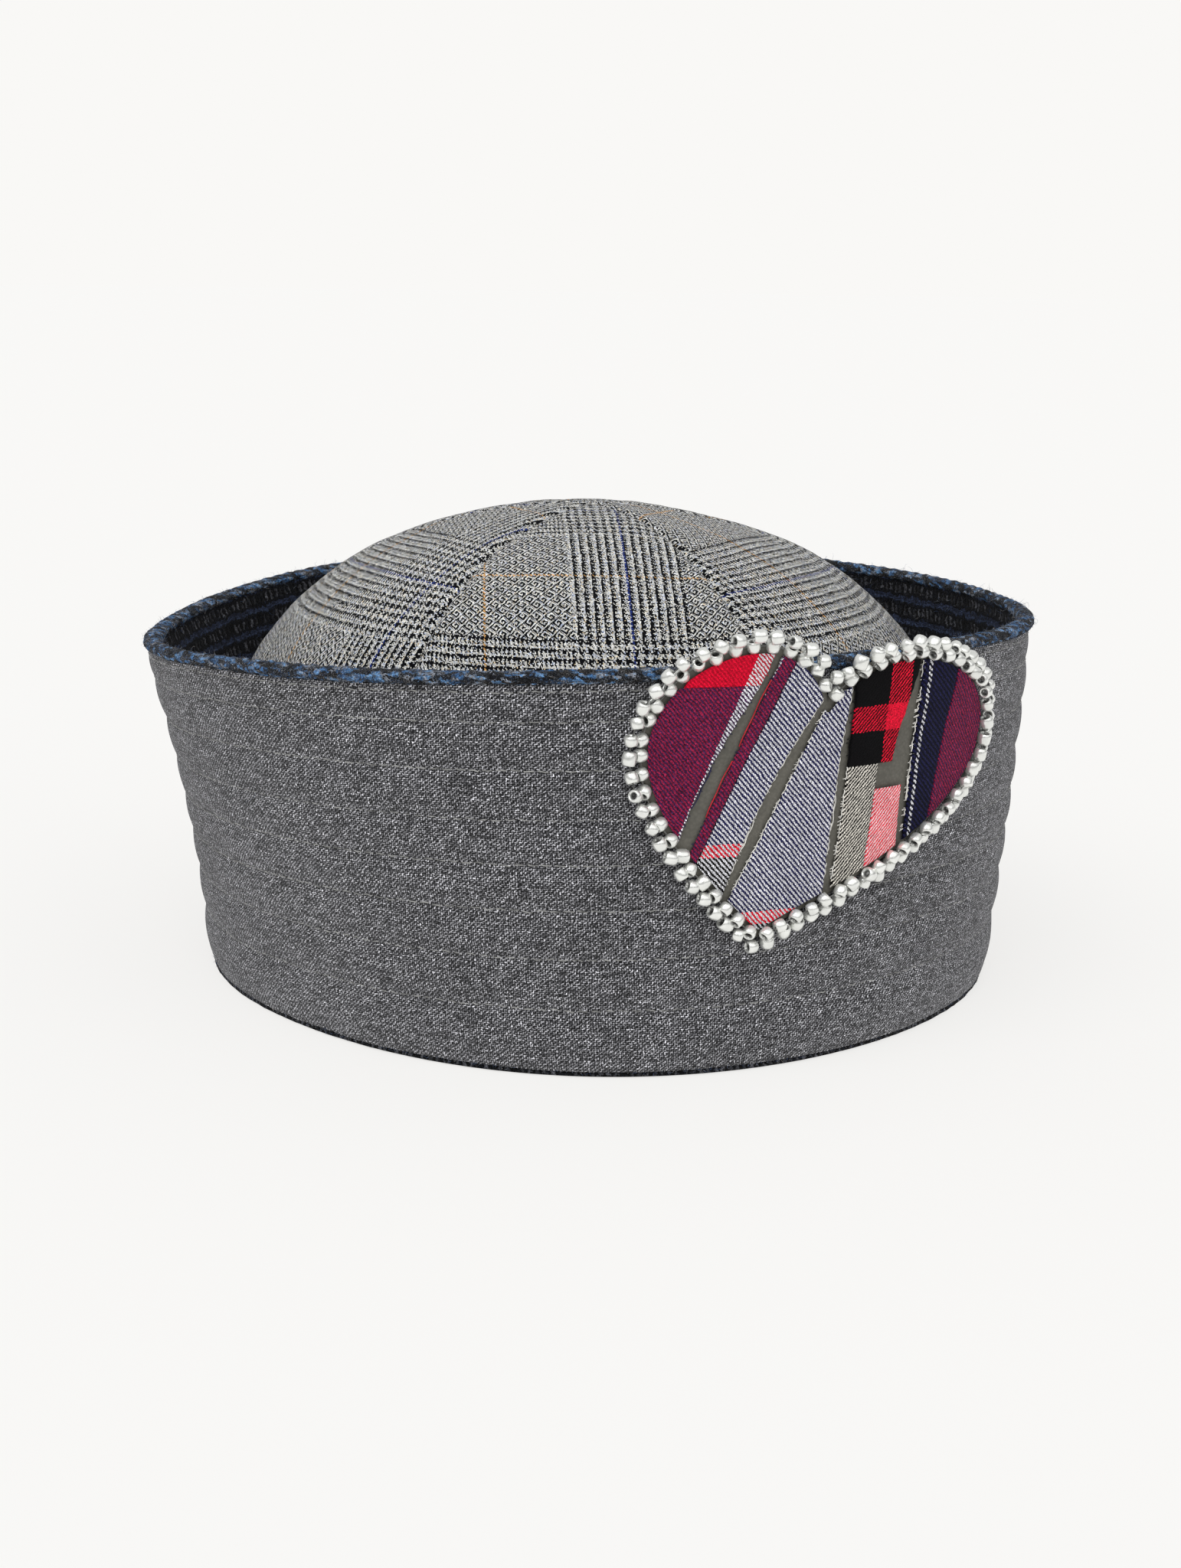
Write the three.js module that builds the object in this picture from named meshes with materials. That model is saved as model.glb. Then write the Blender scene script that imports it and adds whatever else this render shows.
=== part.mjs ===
// Sailor hat: a six-gored crown inside a tall quilted brim that is turned up all round,
// with a beaded heart patch on the right front of the brim. Millimetres, +Z up.
// The origin is on the surface that the hat rests on, under the middle of the whole, beads and all.
// The front of the hat looks along -Y. Azimuths are in degrees from +X, counterclockwise from above.

import * as THREE from 'three';

// Brim: the outer face of the grey wall, by azimuth: the radius of its base and of its rim, the height
// of the seam at the rim, and the power that bends the wall between them. The soft wall leans out most
// on the left, and its base stands a little to the right of its rim.
const WALL_STATIONS = [
  { azimuth: 0, base: 97.4, rim: 107.8, height: 87.4, bend: 0.86 },
  { azimuth: 45, base: 96, rim: 105.6, height: 88, bend: 0.92 },
  { azimuth: 90, base: 97, rim: 103.3, height: 89.7, bend: 1 },
  { azimuth: 135, base: 96, rim: 105.2, height: 85.6, bend: 1.2 },
  { azimuth: 180, base: 97.8, rim: 107.4, height: 79.7, bend: 1.63 },
  { azimuth: 225, base: 93.6, rim: 105.9, height: 84, bend: 1.28 },
  { azimuth: 270, base: 95.6, rim: 103.3, height: 87.5, bend: 1 },
  { azimuth: 315, base: 94.6, rim: 105.5, height: 89.5, bend: 1 },
];
const BASE_SHIFT_X = 3.6;
const AXIS_Y = 1.2; // the brim's middle lies behind the origin, because the beads stand out in front
const STITCH_ROWS = [0.179, 0.312, 0.436, 0.552, 0.665, 0.788, 0.906, 0.979]; // shares of the wall's height
const STITCH_DEPTH = 0.35;
const BRIM_STEPS = 56;
const CLOTH_THICKNESS = 1.2;
const LINING_THICKNESS = 1.5;
const LAYER_GAP = 0.3;
const FOOT_SHARE = 0.03; // where the grey cloth ends above the turned-under foot
const FOOT_SECTION = [
  // round the foot of the lining: out from the grey face, and rise above the base
  { out: -0.4, rise: 0 },
  { out: 0, rise: 0.5 },
  { out: 0, rise: 2 },
];
const ROLL_SECTION = [
  // round the lining's rolled rim: out from the grey face, and rise above the seam
  { out: 0.4, rise: 0.3 },
  { out: 0.8, rise: 1.1 },
  { out: 0.3, rise: 2 },
  { out: -1.2, rise: 2.5 },
  { out: -3, rise: 1.9 },
  { out: -3.5, rise: 0.6 },
];

// Crown: a dome with the profile of a superellipse, flattened a little between its seams.
const CROWN_RADIUS = 93.4;
const CROWN_HEIGHT = 113.7;
const CROWN_WALL_POWER = 3.8;
const CROWN_TOP_POWER = 1.94;
const CROWN_THICKNESS = 1.4;
const CROWN_FOOT_GAP = 0.35;
const CROWN_SHIFT_X = 0.5;
const CROWN_ROUND_HEIGHT = 60; // where the crown has left the shape of the base and is round
const GORE_COUNT = 6;
const GORE_FLATTENING = 1;
const GORE_LEVELS = 14;
const GORE_COLUMNS = 5;
const GORE_TIP_RADIUS = 1;
const SEAM_GAP = 0.3;

// Heart patch. Its outline is drawn on the unrolled brim: s runs to the right from the front line,
// measured along a circle of HEART_RADIUS, and z is the height. Each row is an anchor of the outline,
// with the handle that the curve leaves it by and the one that it reaches the next anchor by.
const HEART_RADIUS = 102;
const HEART_CENTRE = { s: 49, z: 62 };
const HEART_REACH = 90; // further from the centre than any point of the heart
const HEART_OUTLINE = [
  { name: 'notch', s: 49.6, z: 80.8, leave: [44, 105], reach: [11.1, 93] },
  { name: 'left side', s: 11.1, z: 72.1, leave: [11.1, 57.7], reach: [26.2, 42] },
  { name: 'tip', s: 35.6, z: 32.4, leave: [47, 40.4], reach: [97.5, 52] },
  { name: 'right side', s: 97.5, z: 70.9, leave: [97.5, 88], reach: [62, 99.5] },
];
const [NOTCH, , TIP] = HEART_OUTLINE;
const CURVE_SAMPLES = 24;
const HEART_MARGIN = 1.8; // how far the leather runs out under the beads
const LEATHER_THICKNESS = 1.2;
const HEART_LIFT = { low: 0.4, high: 1.1, from: 70, to: 84 }; // the gap behind it grows to clear the roll
const SHEET_LEVELS = 6;
const SHEET_COLUMN_WIDTH = 4;
const SHEET_SHORTEST_COLUMN = 5;
const SHEET_EDGE_CROWDING = 0.6; // how much closer a sheet's columns stand near its ends, from 0 to 1

// Appliques on the leather: leaning strips. A side of a strip is given as where it crosses the line
// z = middle, how far it leans to the right for each millimetre up, and its bow, which widens (+) or hollows
// out (-) the strip half way up. bottom and top cut a strip short.
const STRIP = { middle: 62, bowReach: 26, bottom: 20, top: 110 };
const PATCH_THICKNESS = 0.8;
const PATCH_INSET = 0.6;
const PATCHES = [
  { name: 'burgundy_left', cloth: 'burgundy', left: [-8, 0.42, 0], right: [24, 0.42, -2.9], top: 86.7 },
  { name: 'scarlet', cloth: 'scarlet', left: [-8, 0.42, 0], right: [24, 0.42, -2.9], bottom: 87.1 },
  { name: 'wine', cloth: 'burgundy', left: [25.1, 0.455, -0.2], right: [27.7, 0.475, 0] },
  { name: 'twill_left', cloth: 'blue_twill', left: [28.1, 0.475, 0], right: [38.4, 0.5, -2.4] },
  { name: 'twill_right', cloth: 'blue_twill', left: [39.5, 0.5, -0.4], right: [52.9, 0.08, 0], top: 88 },
  { name: 'cream', cloth: 'cream_check', left: [54.2, 0.06, -1.2], right: [63, 0.08, 0], top: 67.3 },
  { name: 'tartan', cloth: 'tartan', left: [54.2, 0.06, -1.2], right: [71.6, 0.02, -4.5], bottom: 68 },
  { name: 'coral', cloth: 'coral', left: [63.4, 0.08, 0], right: [71.6, 0.02, -0.8], top: 62 },
  { name: 'navy', cloth: 'navy', left: [73, 0.024, -0.3], right: [81.4, 0.13, 0] },
  { name: 'burgundy_right', cloth: 'burgundy', left: [81.8, 0.13, 0], right: [103, 0.13, 0] },
];

// Seed beads, in two rows: one on the leather's edge and one outside it. out is how far a row runs outside
// the heart's outline, and lift how far its beads' centres stand off the back of the leather.
const BEAD = { radius: 1.5, halfBody: 0.8, threadRadius: 0.6, pitch: 4.2, sides: 6, endRoom: 0.5 };
const ROW_CURVE_STEPS = 80;
const BEAD_ROWS = [
  { name: 'inner', out: 0.9, lift: 3.2 },
  { name: 'outer', out: 3.6, lift: 1.5 },
];

function material(color, roughness, metalness = 0) {
  return new THREE.MeshStandardMaterial({ color, roughness, metalness });
}
const MATERIALS = {
  worsted: material(0x626267, 0.9),
  tweed: material(0x1d2533, 0.95),
  glen_check: material(0x85878a, 0.9),
  leather: material(0x5c5a54, 0.55),
  burgundy: material(0x5a1f3d, 0.9),
  scarlet: material(0xd21f35, 0.9),
  blue_twill: material(0x7f81a0, 0.9),
  cream_check: material(0x8f897c, 0.9),
  tartan: material(0x4a1620, 0.9),
  coral: material(0xe0606c, 0.9),
  navy: material(0x23253f, 0.9),
  silver_beads: material(0xc9c9c6, 0.3, 0.9),
};

const radians = THREE.MathUtils.degToRad;
const mix = THREE.MathUtils.lerp;
const range = (count) => Array.from({ length: count + 1 }, (_, i) => i / count);

// A closed solid through rings of points, which all have the same even count.
// Open lofts get end caps, zipped across from the ring's first half to its second half.
function loft(rings, closed = false) {
  const size = rings[0].length;
  const index = [];
  const quad = (a, b, c, d) => index.push(a, b, c, a, c, d);
  const spans = closed ? rings.length : rings.length - 1;
  for (let j = 0; j < spans; j++) {
    const here = j * size;
    const next = ((j + 1) % rings.length) * size;
    for (let i = 0; i < size; i++) {
      const after = (i + 1) % size;
      quad(here + i, here + after, next + after, next + i);
    }
  }
  if (!closed) {
    const last = (rings.length - 1) * size;
    for (let i = 0; i < size / 2 - 1; i++) {
      quad(i, size - 1 - i, size - 2 - i, i + 1);
      quad(last + i, last + i + 1, last + size - 2 - i, last + size - 1 - i);
    }
  }
  const points = rings.flat();
  const volume = signedVolume(points, index);
  if (volume < 0) index.reverse();
  const geometry = new THREE.BufferGeometry().setFromPoints(points);
  geometry.setIndex(index);
  geometry.computeVertexNormals();
  return geometry;
}

function signedVolume(points, index) {
  let sum = 0;
  const cross = new THREE.Vector3();
  for (let k = 0; k < index.length; k += 3) {
    const [a, b, c] = [points[index[k]], points[index[k + 1]], points[index[k + 2]]];
    sum += cross.crossVectors(b, c).dot(a);
  }
  return sum / 6;
}

// A smooth loop through one value of the wall's stations.
function stationLoop(key) {
  const points = WALL_STATIONS.map((station) => new THREE.Vector3(station[key], 0, 0));
  return new THREE.CatmullRomCurve3(points, true, 'catmullrom', 0.5);
}
const WALL = {
  base: stationLoop('base'),
  rim: stationLoop('rim'),
  height: stationLoop('height'),
  bend: stationLoop('bend'),
};
const wallAt = (key, azimuth) => WALL[key].getPoint(THREE.MathUtils.euclideanModulo(azimuth, 360) / 360).x;

function polar(radius, azimuth, shift, z) {
  const a = radians(azimuth);
  return new THREE.Vector3(shift + radius * Math.cos(a), AXIS_Y + radius * Math.sin(a), z);
}

// A point of the brim: share is 0 at the base and 1 at the rim's seam, and out is measured outwards
// from the grey wall's face. rise is added to the height.
function brimPoint(azimuth, share, out, rise = 0) {
  const base = wallAt('base', azimuth);
  const bulge = (wallAt('rim', azimuth) - base) * Math.pow(share, wallAt('bend', azimuth));
  const z = wallAt('height', azimuth) * share + rise;
  return polar(base + bulge + out, azimuth, BASE_SHIFT_X * (1 - share), z);
}

const WALL_SHARES = [FOOT_SHARE, ...STITCH_ROWS, 1];

// The grey wall: its face sinks in at each stitch row and puffs out half way between them.
function brimCloth() {
  const face = [{ share: FOOT_SHARE, out: 0 }];
  WALL_SHARES.slice(1).forEach((share, i) => {
    const below = WALL_SHARES[i];
    face.push({ share: (below + share) / 2, out: 0 });
    face.push({ share, out: share < 1 ? -STITCH_DEPTH : 0 });
  });
  const back = WALL_SHARES.map((share) => ({ share, out: -CLOTH_THICKNESS })).reverse();
  return sweepBrim([...face, ...back]);
}

// The tweed wall behind it, from the foot under the grey cloth to the roll over its top edge.
function brimLining() {
  const outer = -CLOTH_THICKNESS - LAYER_GAP;
  const inner = outer - LINING_THICKNESS;
  const wall = (out) => STITCH_ROWS.map((share) => ({ share, out }));
  const footTop = FOOT_SECTION[FOOT_SECTION.length - 1].rise;
  return sweepBrim([
    { share: 0, out: inner },
    ...FOOT_SECTION.map((point) => ({ share: 0, ...point })),
    { share: 0, out: outer, rise: footTop },
    ...wall(outer),
    { share: 1, out: outer, rise: LAYER_GAP },
    ...ROLL_SECTION.map((point) => ({ share: 1, ...point })),
    ...wall(inner).reverse(),
  ]);
}

// Sweeps a closed section right round the brim.
function sweepBrim(section) {
  const rings = range(BRIM_STEPS).slice(0, -1).map((turn) =>
    section.map(({ share, out, rise }) => brimPoint(360 * turn, share, out, rise)));
  return loft(rings, true);
}

// The crown's meridian, from the base (t = 0) to the apex (t = 1): x is the radius and y the height.
class CrownMeridian extends THREE.Curve {
  getPoint(t, target = new THREE.Vector2()) {
    const angle = t * Math.PI / 2;
    const radius = Math.pow(Math.max(0, Math.cos(angle)), 2 / CROWN_TOP_POWER);
    const height = Math.pow(Math.sin(angle), 2 / CROWN_WALL_POWER);
    return target.set(radius * CROWN_RADIUS, height * CROWN_HEIGHT);
  }
}

// Levels of the crown, evenly spaced up the meridian to the tips of the gores.
function crownLevels() {
  const meridian = new CrownMeridian();
  meridian.arcLengthDivisions = 2000;
  const length = meridian.getLength();
  return range(GORE_LEVELS).map((share) => {
    const along = share * (1 - GORE_TIP_RADIUS / length);
    const { x: radius, y: z } = meridian.getPointAt(along);
    const tangent = meridian.getTangentAt(along);
    return { radius, z, normal: new THREE.Vector2(tangent.y, -tangent.x) };
  });
}

// How far a gore is flattened at a level: most on the shoulder, and not at the base or the apex.
const goreFlat = ({ radius }) => GORE_FLATTENING * Math.sin(Math.PI * (radius / CROWN_RADIUS) ** 2);

function crownPanel(number) {
  const middle = -90 + number * 360 / GORE_COUNT;
  const stack = CLOTH_THICKNESS + LAYER_GAP + LINING_THICKNESS + CROWN_FOOT_GAP;
  const place = (level, share, depth) => {
    const seamAngle = THREE.MathUtils.radToDeg(Math.asin(SEAM_GAP / 2 / level.radius));
    const azimuth = middle + share * (180 / GORE_COUNT - seamAngle);
    const roundness = THREE.MathUtils.smoothstep(level.z, 0, CROWN_ROUND_HEIGHT);
    const foot = (wallAt('base', azimuth) - stack - CROWN_RADIUS) * (1 - roundness);
    const flat = goreFlat(level) * Math.pow(Math.cos(share * Math.PI / 2), 2);
    const radius = level.radius + foot - flat + depth * level.normal.x;
    const shift = mix(BASE_SHIFT_X, CROWN_SHIFT_X, roundness);
    return polar(radius, azimuth, shift, level.z + depth * level.normal.y);
  };
  const rings = crownLevels().map((level) => {
    const shares = range(GORE_COLUMNS).map((u) => 2 * u - 1);
    const face = (depth) => shares.map((share) => place(level, share, depth));
    return [...face(0), ...face(-CROWN_THICKNESS).reverse()];
  });
  return loft(rings);
}

// The heart's outline as one closed list of points on the unrolled brim.
function heartOutline() {
  return HEART_OUTLINE.flatMap((anchor, i) => {
    const next = HEART_OUTLINE[(i + 1) % HEART_OUTLINE.length];
    const curve = new THREE.CubicBezierCurve(
      new THREE.Vector2(anchor.s, anchor.z), new THREE.Vector2(...anchor.leave),
      new THREE.Vector2(...anchor.reach), new THREE.Vector2(next.s, next.z));
    return curve.getSpacedPoints(CURVE_SAMPLES).slice(0, -1);
  });
}
const OUTLINE = heartOutline();

// How deep a point lies inside the heart, and below zero how far outside.
function heartDepth(s, z) {
  let nearest = Infinity;
  let inside = false;
  OUTLINE.forEach((a, i) => {
    const b = OUTLINE[(i + 1) % OUTLINE.length];
    const [width, height] = [b.x - a.x, b.y - a.y];
    const along = ((s - a.x) * width + (z - a.y) * height) / (width * width + height * height);
    const share = THREE.MathUtils.clamp(along, 0, 1);
    nearest = Math.min(nearest, Math.hypot(a.x + share * width - s, a.y + share * height - z));
    const crosses = (a.y > z) !== (b.y > z);
    if (crosses && s < a.x + width * (z - a.y) / height) inside = !inside;
  });
  return inside ? nearest : -nearest;
}

// Halves the stretch between a place where a test holds and one where it fails, until both meet.
function bisect(holds, fails, test) {
  let [good, bad] = [holds, fails];
  for (let k = 0; k < 20; k++) {
    const middle = (good + bad) / 2;
    if (test(middle)) good = middle;
    else bad = middle;
  }
  return good;
}

// The place of a point of the unrolled brim in space, at a distance from the back of the leather.
function heartPoint(s, z, out) {
  const azimuth = -90 + THREE.MathUtils.radToDeg(s / HEART_RADIUS);
  const rise = THREE.MathUtils.smoothstep(z, HEART_LIFT.from, HEART_LIFT.to);
  const lift = mix(HEART_LIFT.low, HEART_LIFT.high, rise);
  return brimPoint(azimuth, z / wallAt('height', azimuth), lift + out);
}

// The lowest and highest point of a column inside the heart less an inset, or null where it is too short.
function columnSpan(sAt, inset, bottom, top) {
  const within = (z) => z >= bottom && z <= top && heartDepth(sAt(z), z) >= inset;
  const steps = range(STRIP.top - STRIP.bottom);
  const heights = steps.map((v) => mix(STRIP.bottom, STRIP.top, v)).filter(within);
  if (heights.length < SHEET_SHORTEST_COLUMN) return null;
  const low = bisect(heights[0], heights[0] - 1, within);
  const high = bisect(heights[heights.length - 1], heights[heights.length - 1] + 1, within);
  return { low, high };
}

// Shares of a sheet's width from one to another, closer together towards both ends.
function columnShares(from, to, width) {
  const count = Math.max(2, Math.round((to - from) * width / SHEET_COLUMN_WIDTH));
  const crowded = (v) => mix(v, (1 - Math.cos(Math.PI * v)) / 2, SHEET_EDGE_CROWDING);
  return range(count).map((v) => mix(from, to, crowded(v)));
}

// A sheet on the brim, cut to the heart less an inset, from columns that run up it. columnAt(u) gives
// the function from z to s of the column at share u of the sheet's width, and one column runs at the
// share corner where that is given.
function heartSheet({ columnAt, width, inset, out, thickness, bottom, top, corner }) {
  const spanAt = (u) => columnSpan(columnAt(u), inset, bottom ?? STRIP.bottom, top ?? STRIP.top);
  const whole = range(Math.ceil(width)).filter(spanAt);
  const [first, last] = [whole[0], whole[whole.length - 1]];
  const shares = corner === undefined
    ? columnShares(first, last, width)
    : [...columnShares(first, corner, width), ...columnShares(corner, last, width).slice(1)];
  const rings = shares.map((u) => {
    const { low, high } = spanAt(u);
    const stations = range(SHEET_LEVELS).map((w) => mix(low, high, w));
    const face = (height) => stations.map((z) => heartPoint(columnAt(u)(z), z, height));
    return [...face(out + thickness), ...face(out).reverse()];
  });
  return loft(rings);
}

function heartBacking() {
  const left = Math.min(...OUTLINE.map((point) => point.x));
  const right = Math.max(...OUTLINE.map((point) => point.x));
  return heartSheet({
    columnAt: (u) => () => mix(left - HEART_MARGIN, right + HEART_MARGIN, u),
    width: right - left + 2 * HEART_MARGIN,
    corner: (NOTCH.s - left + HEART_MARGIN) / (right - left + 2 * HEART_MARGIN),
    inset: -HEART_MARGIN, out: 0, thickness: LEATHER_THICKNESS,
  });
}

function heartPatch({ left, right, bottom, top }) {
  const sideAt = ([side, lean, bow], outward, z) => {
    const rise = z - STRIP.middle;
    const swell = Math.cos(THREE.MathUtils.clamp(rise / STRIP.bowReach, -1, 1) * Math.PI / 2);
    return side + outward * bow * swell + lean * rise;
  };
  return heartSheet({
    columnAt: (u) => (z) => mix(sideAt(left, -1, z), sideAt(right, 1, z), u),
    width: right[0] - left[0],
    inset: PATCH_INSET, out: LEATHER_THICKNESS + LAYER_GAP, thickness: PATCH_THICKNESS, bottom, top,
  });
}

// The line round the heart at a distance outside its outline, from one bearing to another as seen from the
// heart's centre. It rounds the tip and is cut to a corner at the notch, as a sewn row of beads is.
function rowCurve(out, fromBearing, toBearing) {
  const points = range(ROW_CURVE_STEPS).map((share) => {
    const bearing = mix(fromBearing, toBearing, share);
    const [across, up] = [Math.cos(bearing), Math.sin(bearing)];
    const at = (reach) => [HEART_CENTRE.s + reach * across, HEART_CENTRE.z + reach * up];
    const reach = bisect(0, HEART_REACH, (distance) => heartDepth(...at(distance)) > -out);
    return new THREE.Vector3(...at(reach), 0);
  });
  return new THREE.CatmullRomCurve3(points);
}

// One row of beads joined along its thread: a tube that swells to a bead at every pitch.
function beadRow(row, fromBearing, toBearing) {
  const curve = rowCurve(row.out, fromBearing, toBearing);
  const length = curve.getLength();
  const count = Math.floor(length / BEAD.pitch);
  const pitch = (length - 2 * BEAD.endRoom) / count;
  const ring = (distance, radius) => {
    const { x: s, y: z } = curve.getPointAt(distance / length);
    const along = curve.getTangentAt(distance / length);
    const centre = heartPoint(s, z, row.lift);
    const outward = heartPoint(s, z, row.lift + 1).sub(centre).normalize();
    const ahead = heartPoint(s + along.x, z + along.y, row.lift).sub(centre).normalize();
    const across = new THREE.Vector3().crossVectors(ahead, outward).normalize();
    return range(BEAD.sides).slice(0, -1).map((turn) => {
      const angle = 2 * Math.PI * turn;
      return centre.clone()
        .addScaledVector(outward, radius * Math.sin(angle))
        .addScaledVector(across, radius * Math.cos(angle));
    });
  };
  const rings = [];
  for (let bead = 0; bead < count; bead++) {
    const middle = BEAD.endRoom + (bead + 0.5) * pitch;
    if (bead > 0) rings.push(ring(middle - pitch / 2, BEAD.threadRadius));
    rings.push(ring(middle - BEAD.halfBody, BEAD.radius), ring(middle + BEAD.halfBody, BEAD.radius));
  }
  return loft(rings);
}

const bearingOf = ({ s, z }) => Math.atan2(z - HEART_CENTRE.z, s - HEART_CENTRE.s);

const group = new THREE.Group();
function add(name, geometry, finish) {
  const mesh = new THREE.Mesh(geometry, finish);
  mesh.name = name;
  group.add(mesh);
}

for (let number = 0; number < GORE_COUNT; number++) {
  add(`crown_panel_${number + 1}`, crownPanel(number), MATERIALS.glen_check);
}
add('brim_cloth', brimCloth(), MATERIALS.worsted);
add('brim_lining', brimLining(), MATERIALS.tweed);
add('heart_backing', heartBacking(), MATERIALS.leather);
PATCHES.forEach((patch) => add(`patch_${patch.name}`, heartPatch(patch), MATERIALS[patch.cloth]));
BEAD_ROWS.forEach((row) => {
  const [notch, tip] = [bearingOf(NOTCH), bearingOf(TIP)];
  add(`beads_${row.name}_left`, beadRow(row, notch, tip + 2 * Math.PI), MATERIALS.silver_beads);
  add(`beads_${row.name}_right`, beadRow(row, tip, notch), MATERIALS.silver_beads);
});

export default group;
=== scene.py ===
# %% [markdown]
# # A sailor hat pieced from wool, with a beaded heart
# The hat has a round crown of six gores and a tall brim that is turned up all round. The measured
# model of its solids is loaded first, as a frame. Every visible piece is then cut again as cloth,
# leather or beads, at the place that the frame gives it. Lengths are written in millimetres, as a hat
# maker would, and become Blender's metres only when they reach a mesh.

import math
import random
from functools import lru_cache

import bmesh
import bpy
import numpy as np
from mathutils import Matrix, Vector, noise


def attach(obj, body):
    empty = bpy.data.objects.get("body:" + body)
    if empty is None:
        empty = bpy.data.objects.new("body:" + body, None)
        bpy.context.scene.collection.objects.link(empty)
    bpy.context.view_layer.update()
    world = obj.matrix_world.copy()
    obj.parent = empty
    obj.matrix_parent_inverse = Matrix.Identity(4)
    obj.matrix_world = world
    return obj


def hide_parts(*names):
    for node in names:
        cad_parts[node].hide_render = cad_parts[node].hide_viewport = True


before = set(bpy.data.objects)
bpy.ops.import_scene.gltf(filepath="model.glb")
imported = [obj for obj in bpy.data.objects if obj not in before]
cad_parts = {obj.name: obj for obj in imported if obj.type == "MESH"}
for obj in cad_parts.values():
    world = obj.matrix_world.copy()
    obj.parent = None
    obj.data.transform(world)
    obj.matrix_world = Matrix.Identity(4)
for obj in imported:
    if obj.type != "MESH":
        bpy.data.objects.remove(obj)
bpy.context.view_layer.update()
MM = 0.001
print("solids in the frame:", len(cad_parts))

# %% [markdown]
# ## Camera
# The photograph was taken from a little above the rim, at arm's length, with a normal lens. The camera
# could be set by eye, but its place and lens were worked out from the picture's outline instead, so
# that every later comparison is fair. Depth of field stays off.

# %% Place the camera
PHOTO_HEIGHT = 2048  # pixels
FOCAL_PIXELS = 2862.5
SENSOR_HEIGHT = 36
CAMERA_PLACE = (1.16, -537.8, 166.7)
LOOK_DOWN, LEAN = 0.226, 0.013  # radians
camera = bpy.data.objects.new("camera", bpy.data.cameras.new("camera"))
camera.data.sensor_fit = "VERTICAL"
camera.data.sensor_height = SENSOR_HEIGHT
camera.data.lens = SENSOR_HEIGHT * FOCAL_PIXELS / PHOTO_HEIGHT
camera.data.clip_start = 0.01
turn = Matrix.Rotation(math.pi / 2 - LOOK_DOWN, 4, "X") @ Matrix.Rotation(LEAN, 4, "Z")
camera.matrix_world = Matrix.Translation(Vector(CAMERA_PLACE) * MM) @ turn
bpy.context.scene.collection.objects.link(camera)
bpy.context.scene.camera = camera
print("lens", round(camera.data.lens, 2), "mm")

# %% [markdown]
# ## Floor and light
# The hat stands on a white table that glows faintly, as a product photographer's light table does, so
# its shadow stays pale. A bright sky of even white and two broad suns make the soft studio light. The
# suns could be area lamps, but a sun keeps the floor evenly bright up to the horizon, which then
# disappears into the background. Reflections need something darker to show the curve of a bead, so a
# low grey screen stands round the set, seen by gloss only.

# %% Colours from hex codes
def tint(code):
    """A colour from its six hex digits, in Blender's linear numbers."""
    parts = [int(code[k:k + 2], 16) / 255 for k in (0, 2, 4)]
    return [*(p / 12.92 if p <= 0.04045 else ((p + 0.055) / 1.055) ** 2.4 for p in parts), 1]


BACKGROUND = tint("f9f8f6")
print("background:", [round(part, 3) for part in BACKGROUND])

# %% Lay the floor
FLOOR_RADIUS = 30  # metres, so that its edge is too far away to be seen
FLOOR_GREY = (0.22, 0.22, 0.218, 1)
FLOOR_GLOW = 0.767
bpy.context.scene.view_settings.view_transform = "Standard"


def mesh_of(form, name):
    """Turns a bmesh that is ready into a mesh that an object can hold."""
    mesh = bpy.data.meshes.new(name)
    form.to_mesh(mesh)
    form.free()
    return mesh


def stage_piece(name, shape_it):
    """An object of the set, which isn't part of the hat."""
    form = bmesh.new()
    shape_it(form)
    thing = bpy.data.objects.new(name, mesh_of(form, name))
    bpy.context.scene.collection.objects.link(thing)
    return thing


floor = stage_piece("floor", lambda form: bmesh.ops.create_circle(
    form, cap_ends=True, segments=96, radius=FLOOR_RADIUS))
floor_paint = bpy.data.materials.new("floor_paint")
floor_paint.use_nodes = True
floor_shader = floor_paint.node_tree.nodes["Principled BSDF"]
floor_shader.inputs["Base Color"].default_value = FLOOR_GREY
floor_shader.inputs["Roughness"].default_value = 1
floor_shader.inputs["Specular IOR Level"].default_value = 0
floor_shader.inputs["Emission Color"].default_value = BACKGROUND
floor_shader.inputs["Emission Strength"].default_value = FLOOR_GLOW
floor.data.materials.append(floor_paint)
print("floor radius", FLOOR_RADIUS, "m")

# %% Light the set
SKY_STRENGTH = 0.62
world = bpy.data.worlds.new("studio")
bpy.context.scene.world = world
world.use_nodes = True
sky = world.node_tree.nodes["Background"]
seen = world.node_tree.nodes.new("ShaderNodeLightPath")
backdrop = world.node_tree.nodes.new("ShaderNodeBackground")
choose = world.node_tree.nodes.new("ShaderNodeMixShader")
sky.inputs["Color"].default_value = (1, 1, 1, 1)
sky.inputs["Strength"].default_value = SKY_STRENGTH
backdrop.inputs["Color"].default_value = BACKGROUND
for source, target in (
    (seen.outputs["Is Camera Ray"], choose.inputs[0]),
    (sky.outputs[0], choose.inputs[1]),
    (backdrop.outputs[0], choose.inputs[2]),
    (choose.outputs[0], world.node_tree.nodes["World Output"].inputs["Surface"]),
):
    world.node_tree.links.new(source, target)


def sun(name, azimuth, elevation, strength, breadth):
    """A broad sun: azimuth counterclockwise from +X, and breadth the angle that it fills, in degrees."""
    lamp = bpy.data.objects.new(name, bpy.data.lights.new(name, "SUN"))
    lamp.data.energy = strength
    lamp.data.angle = math.radians(breadth)
    a, e = math.radians(azimuth), math.radians(elevation)
    towards = Vector((math.cos(a) * math.cos(e), math.sin(a) * math.cos(e), math.sin(e)))
    lamp.rotation_euler = towards.to_track_quat("Z", "Y").to_euler()
    bpy.context.scene.collection.objects.link(lamp)


sun("key_light", -118, 52, 1.15, 50)
sun("fill_light", -50, 34, 0.5, 60)

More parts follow.
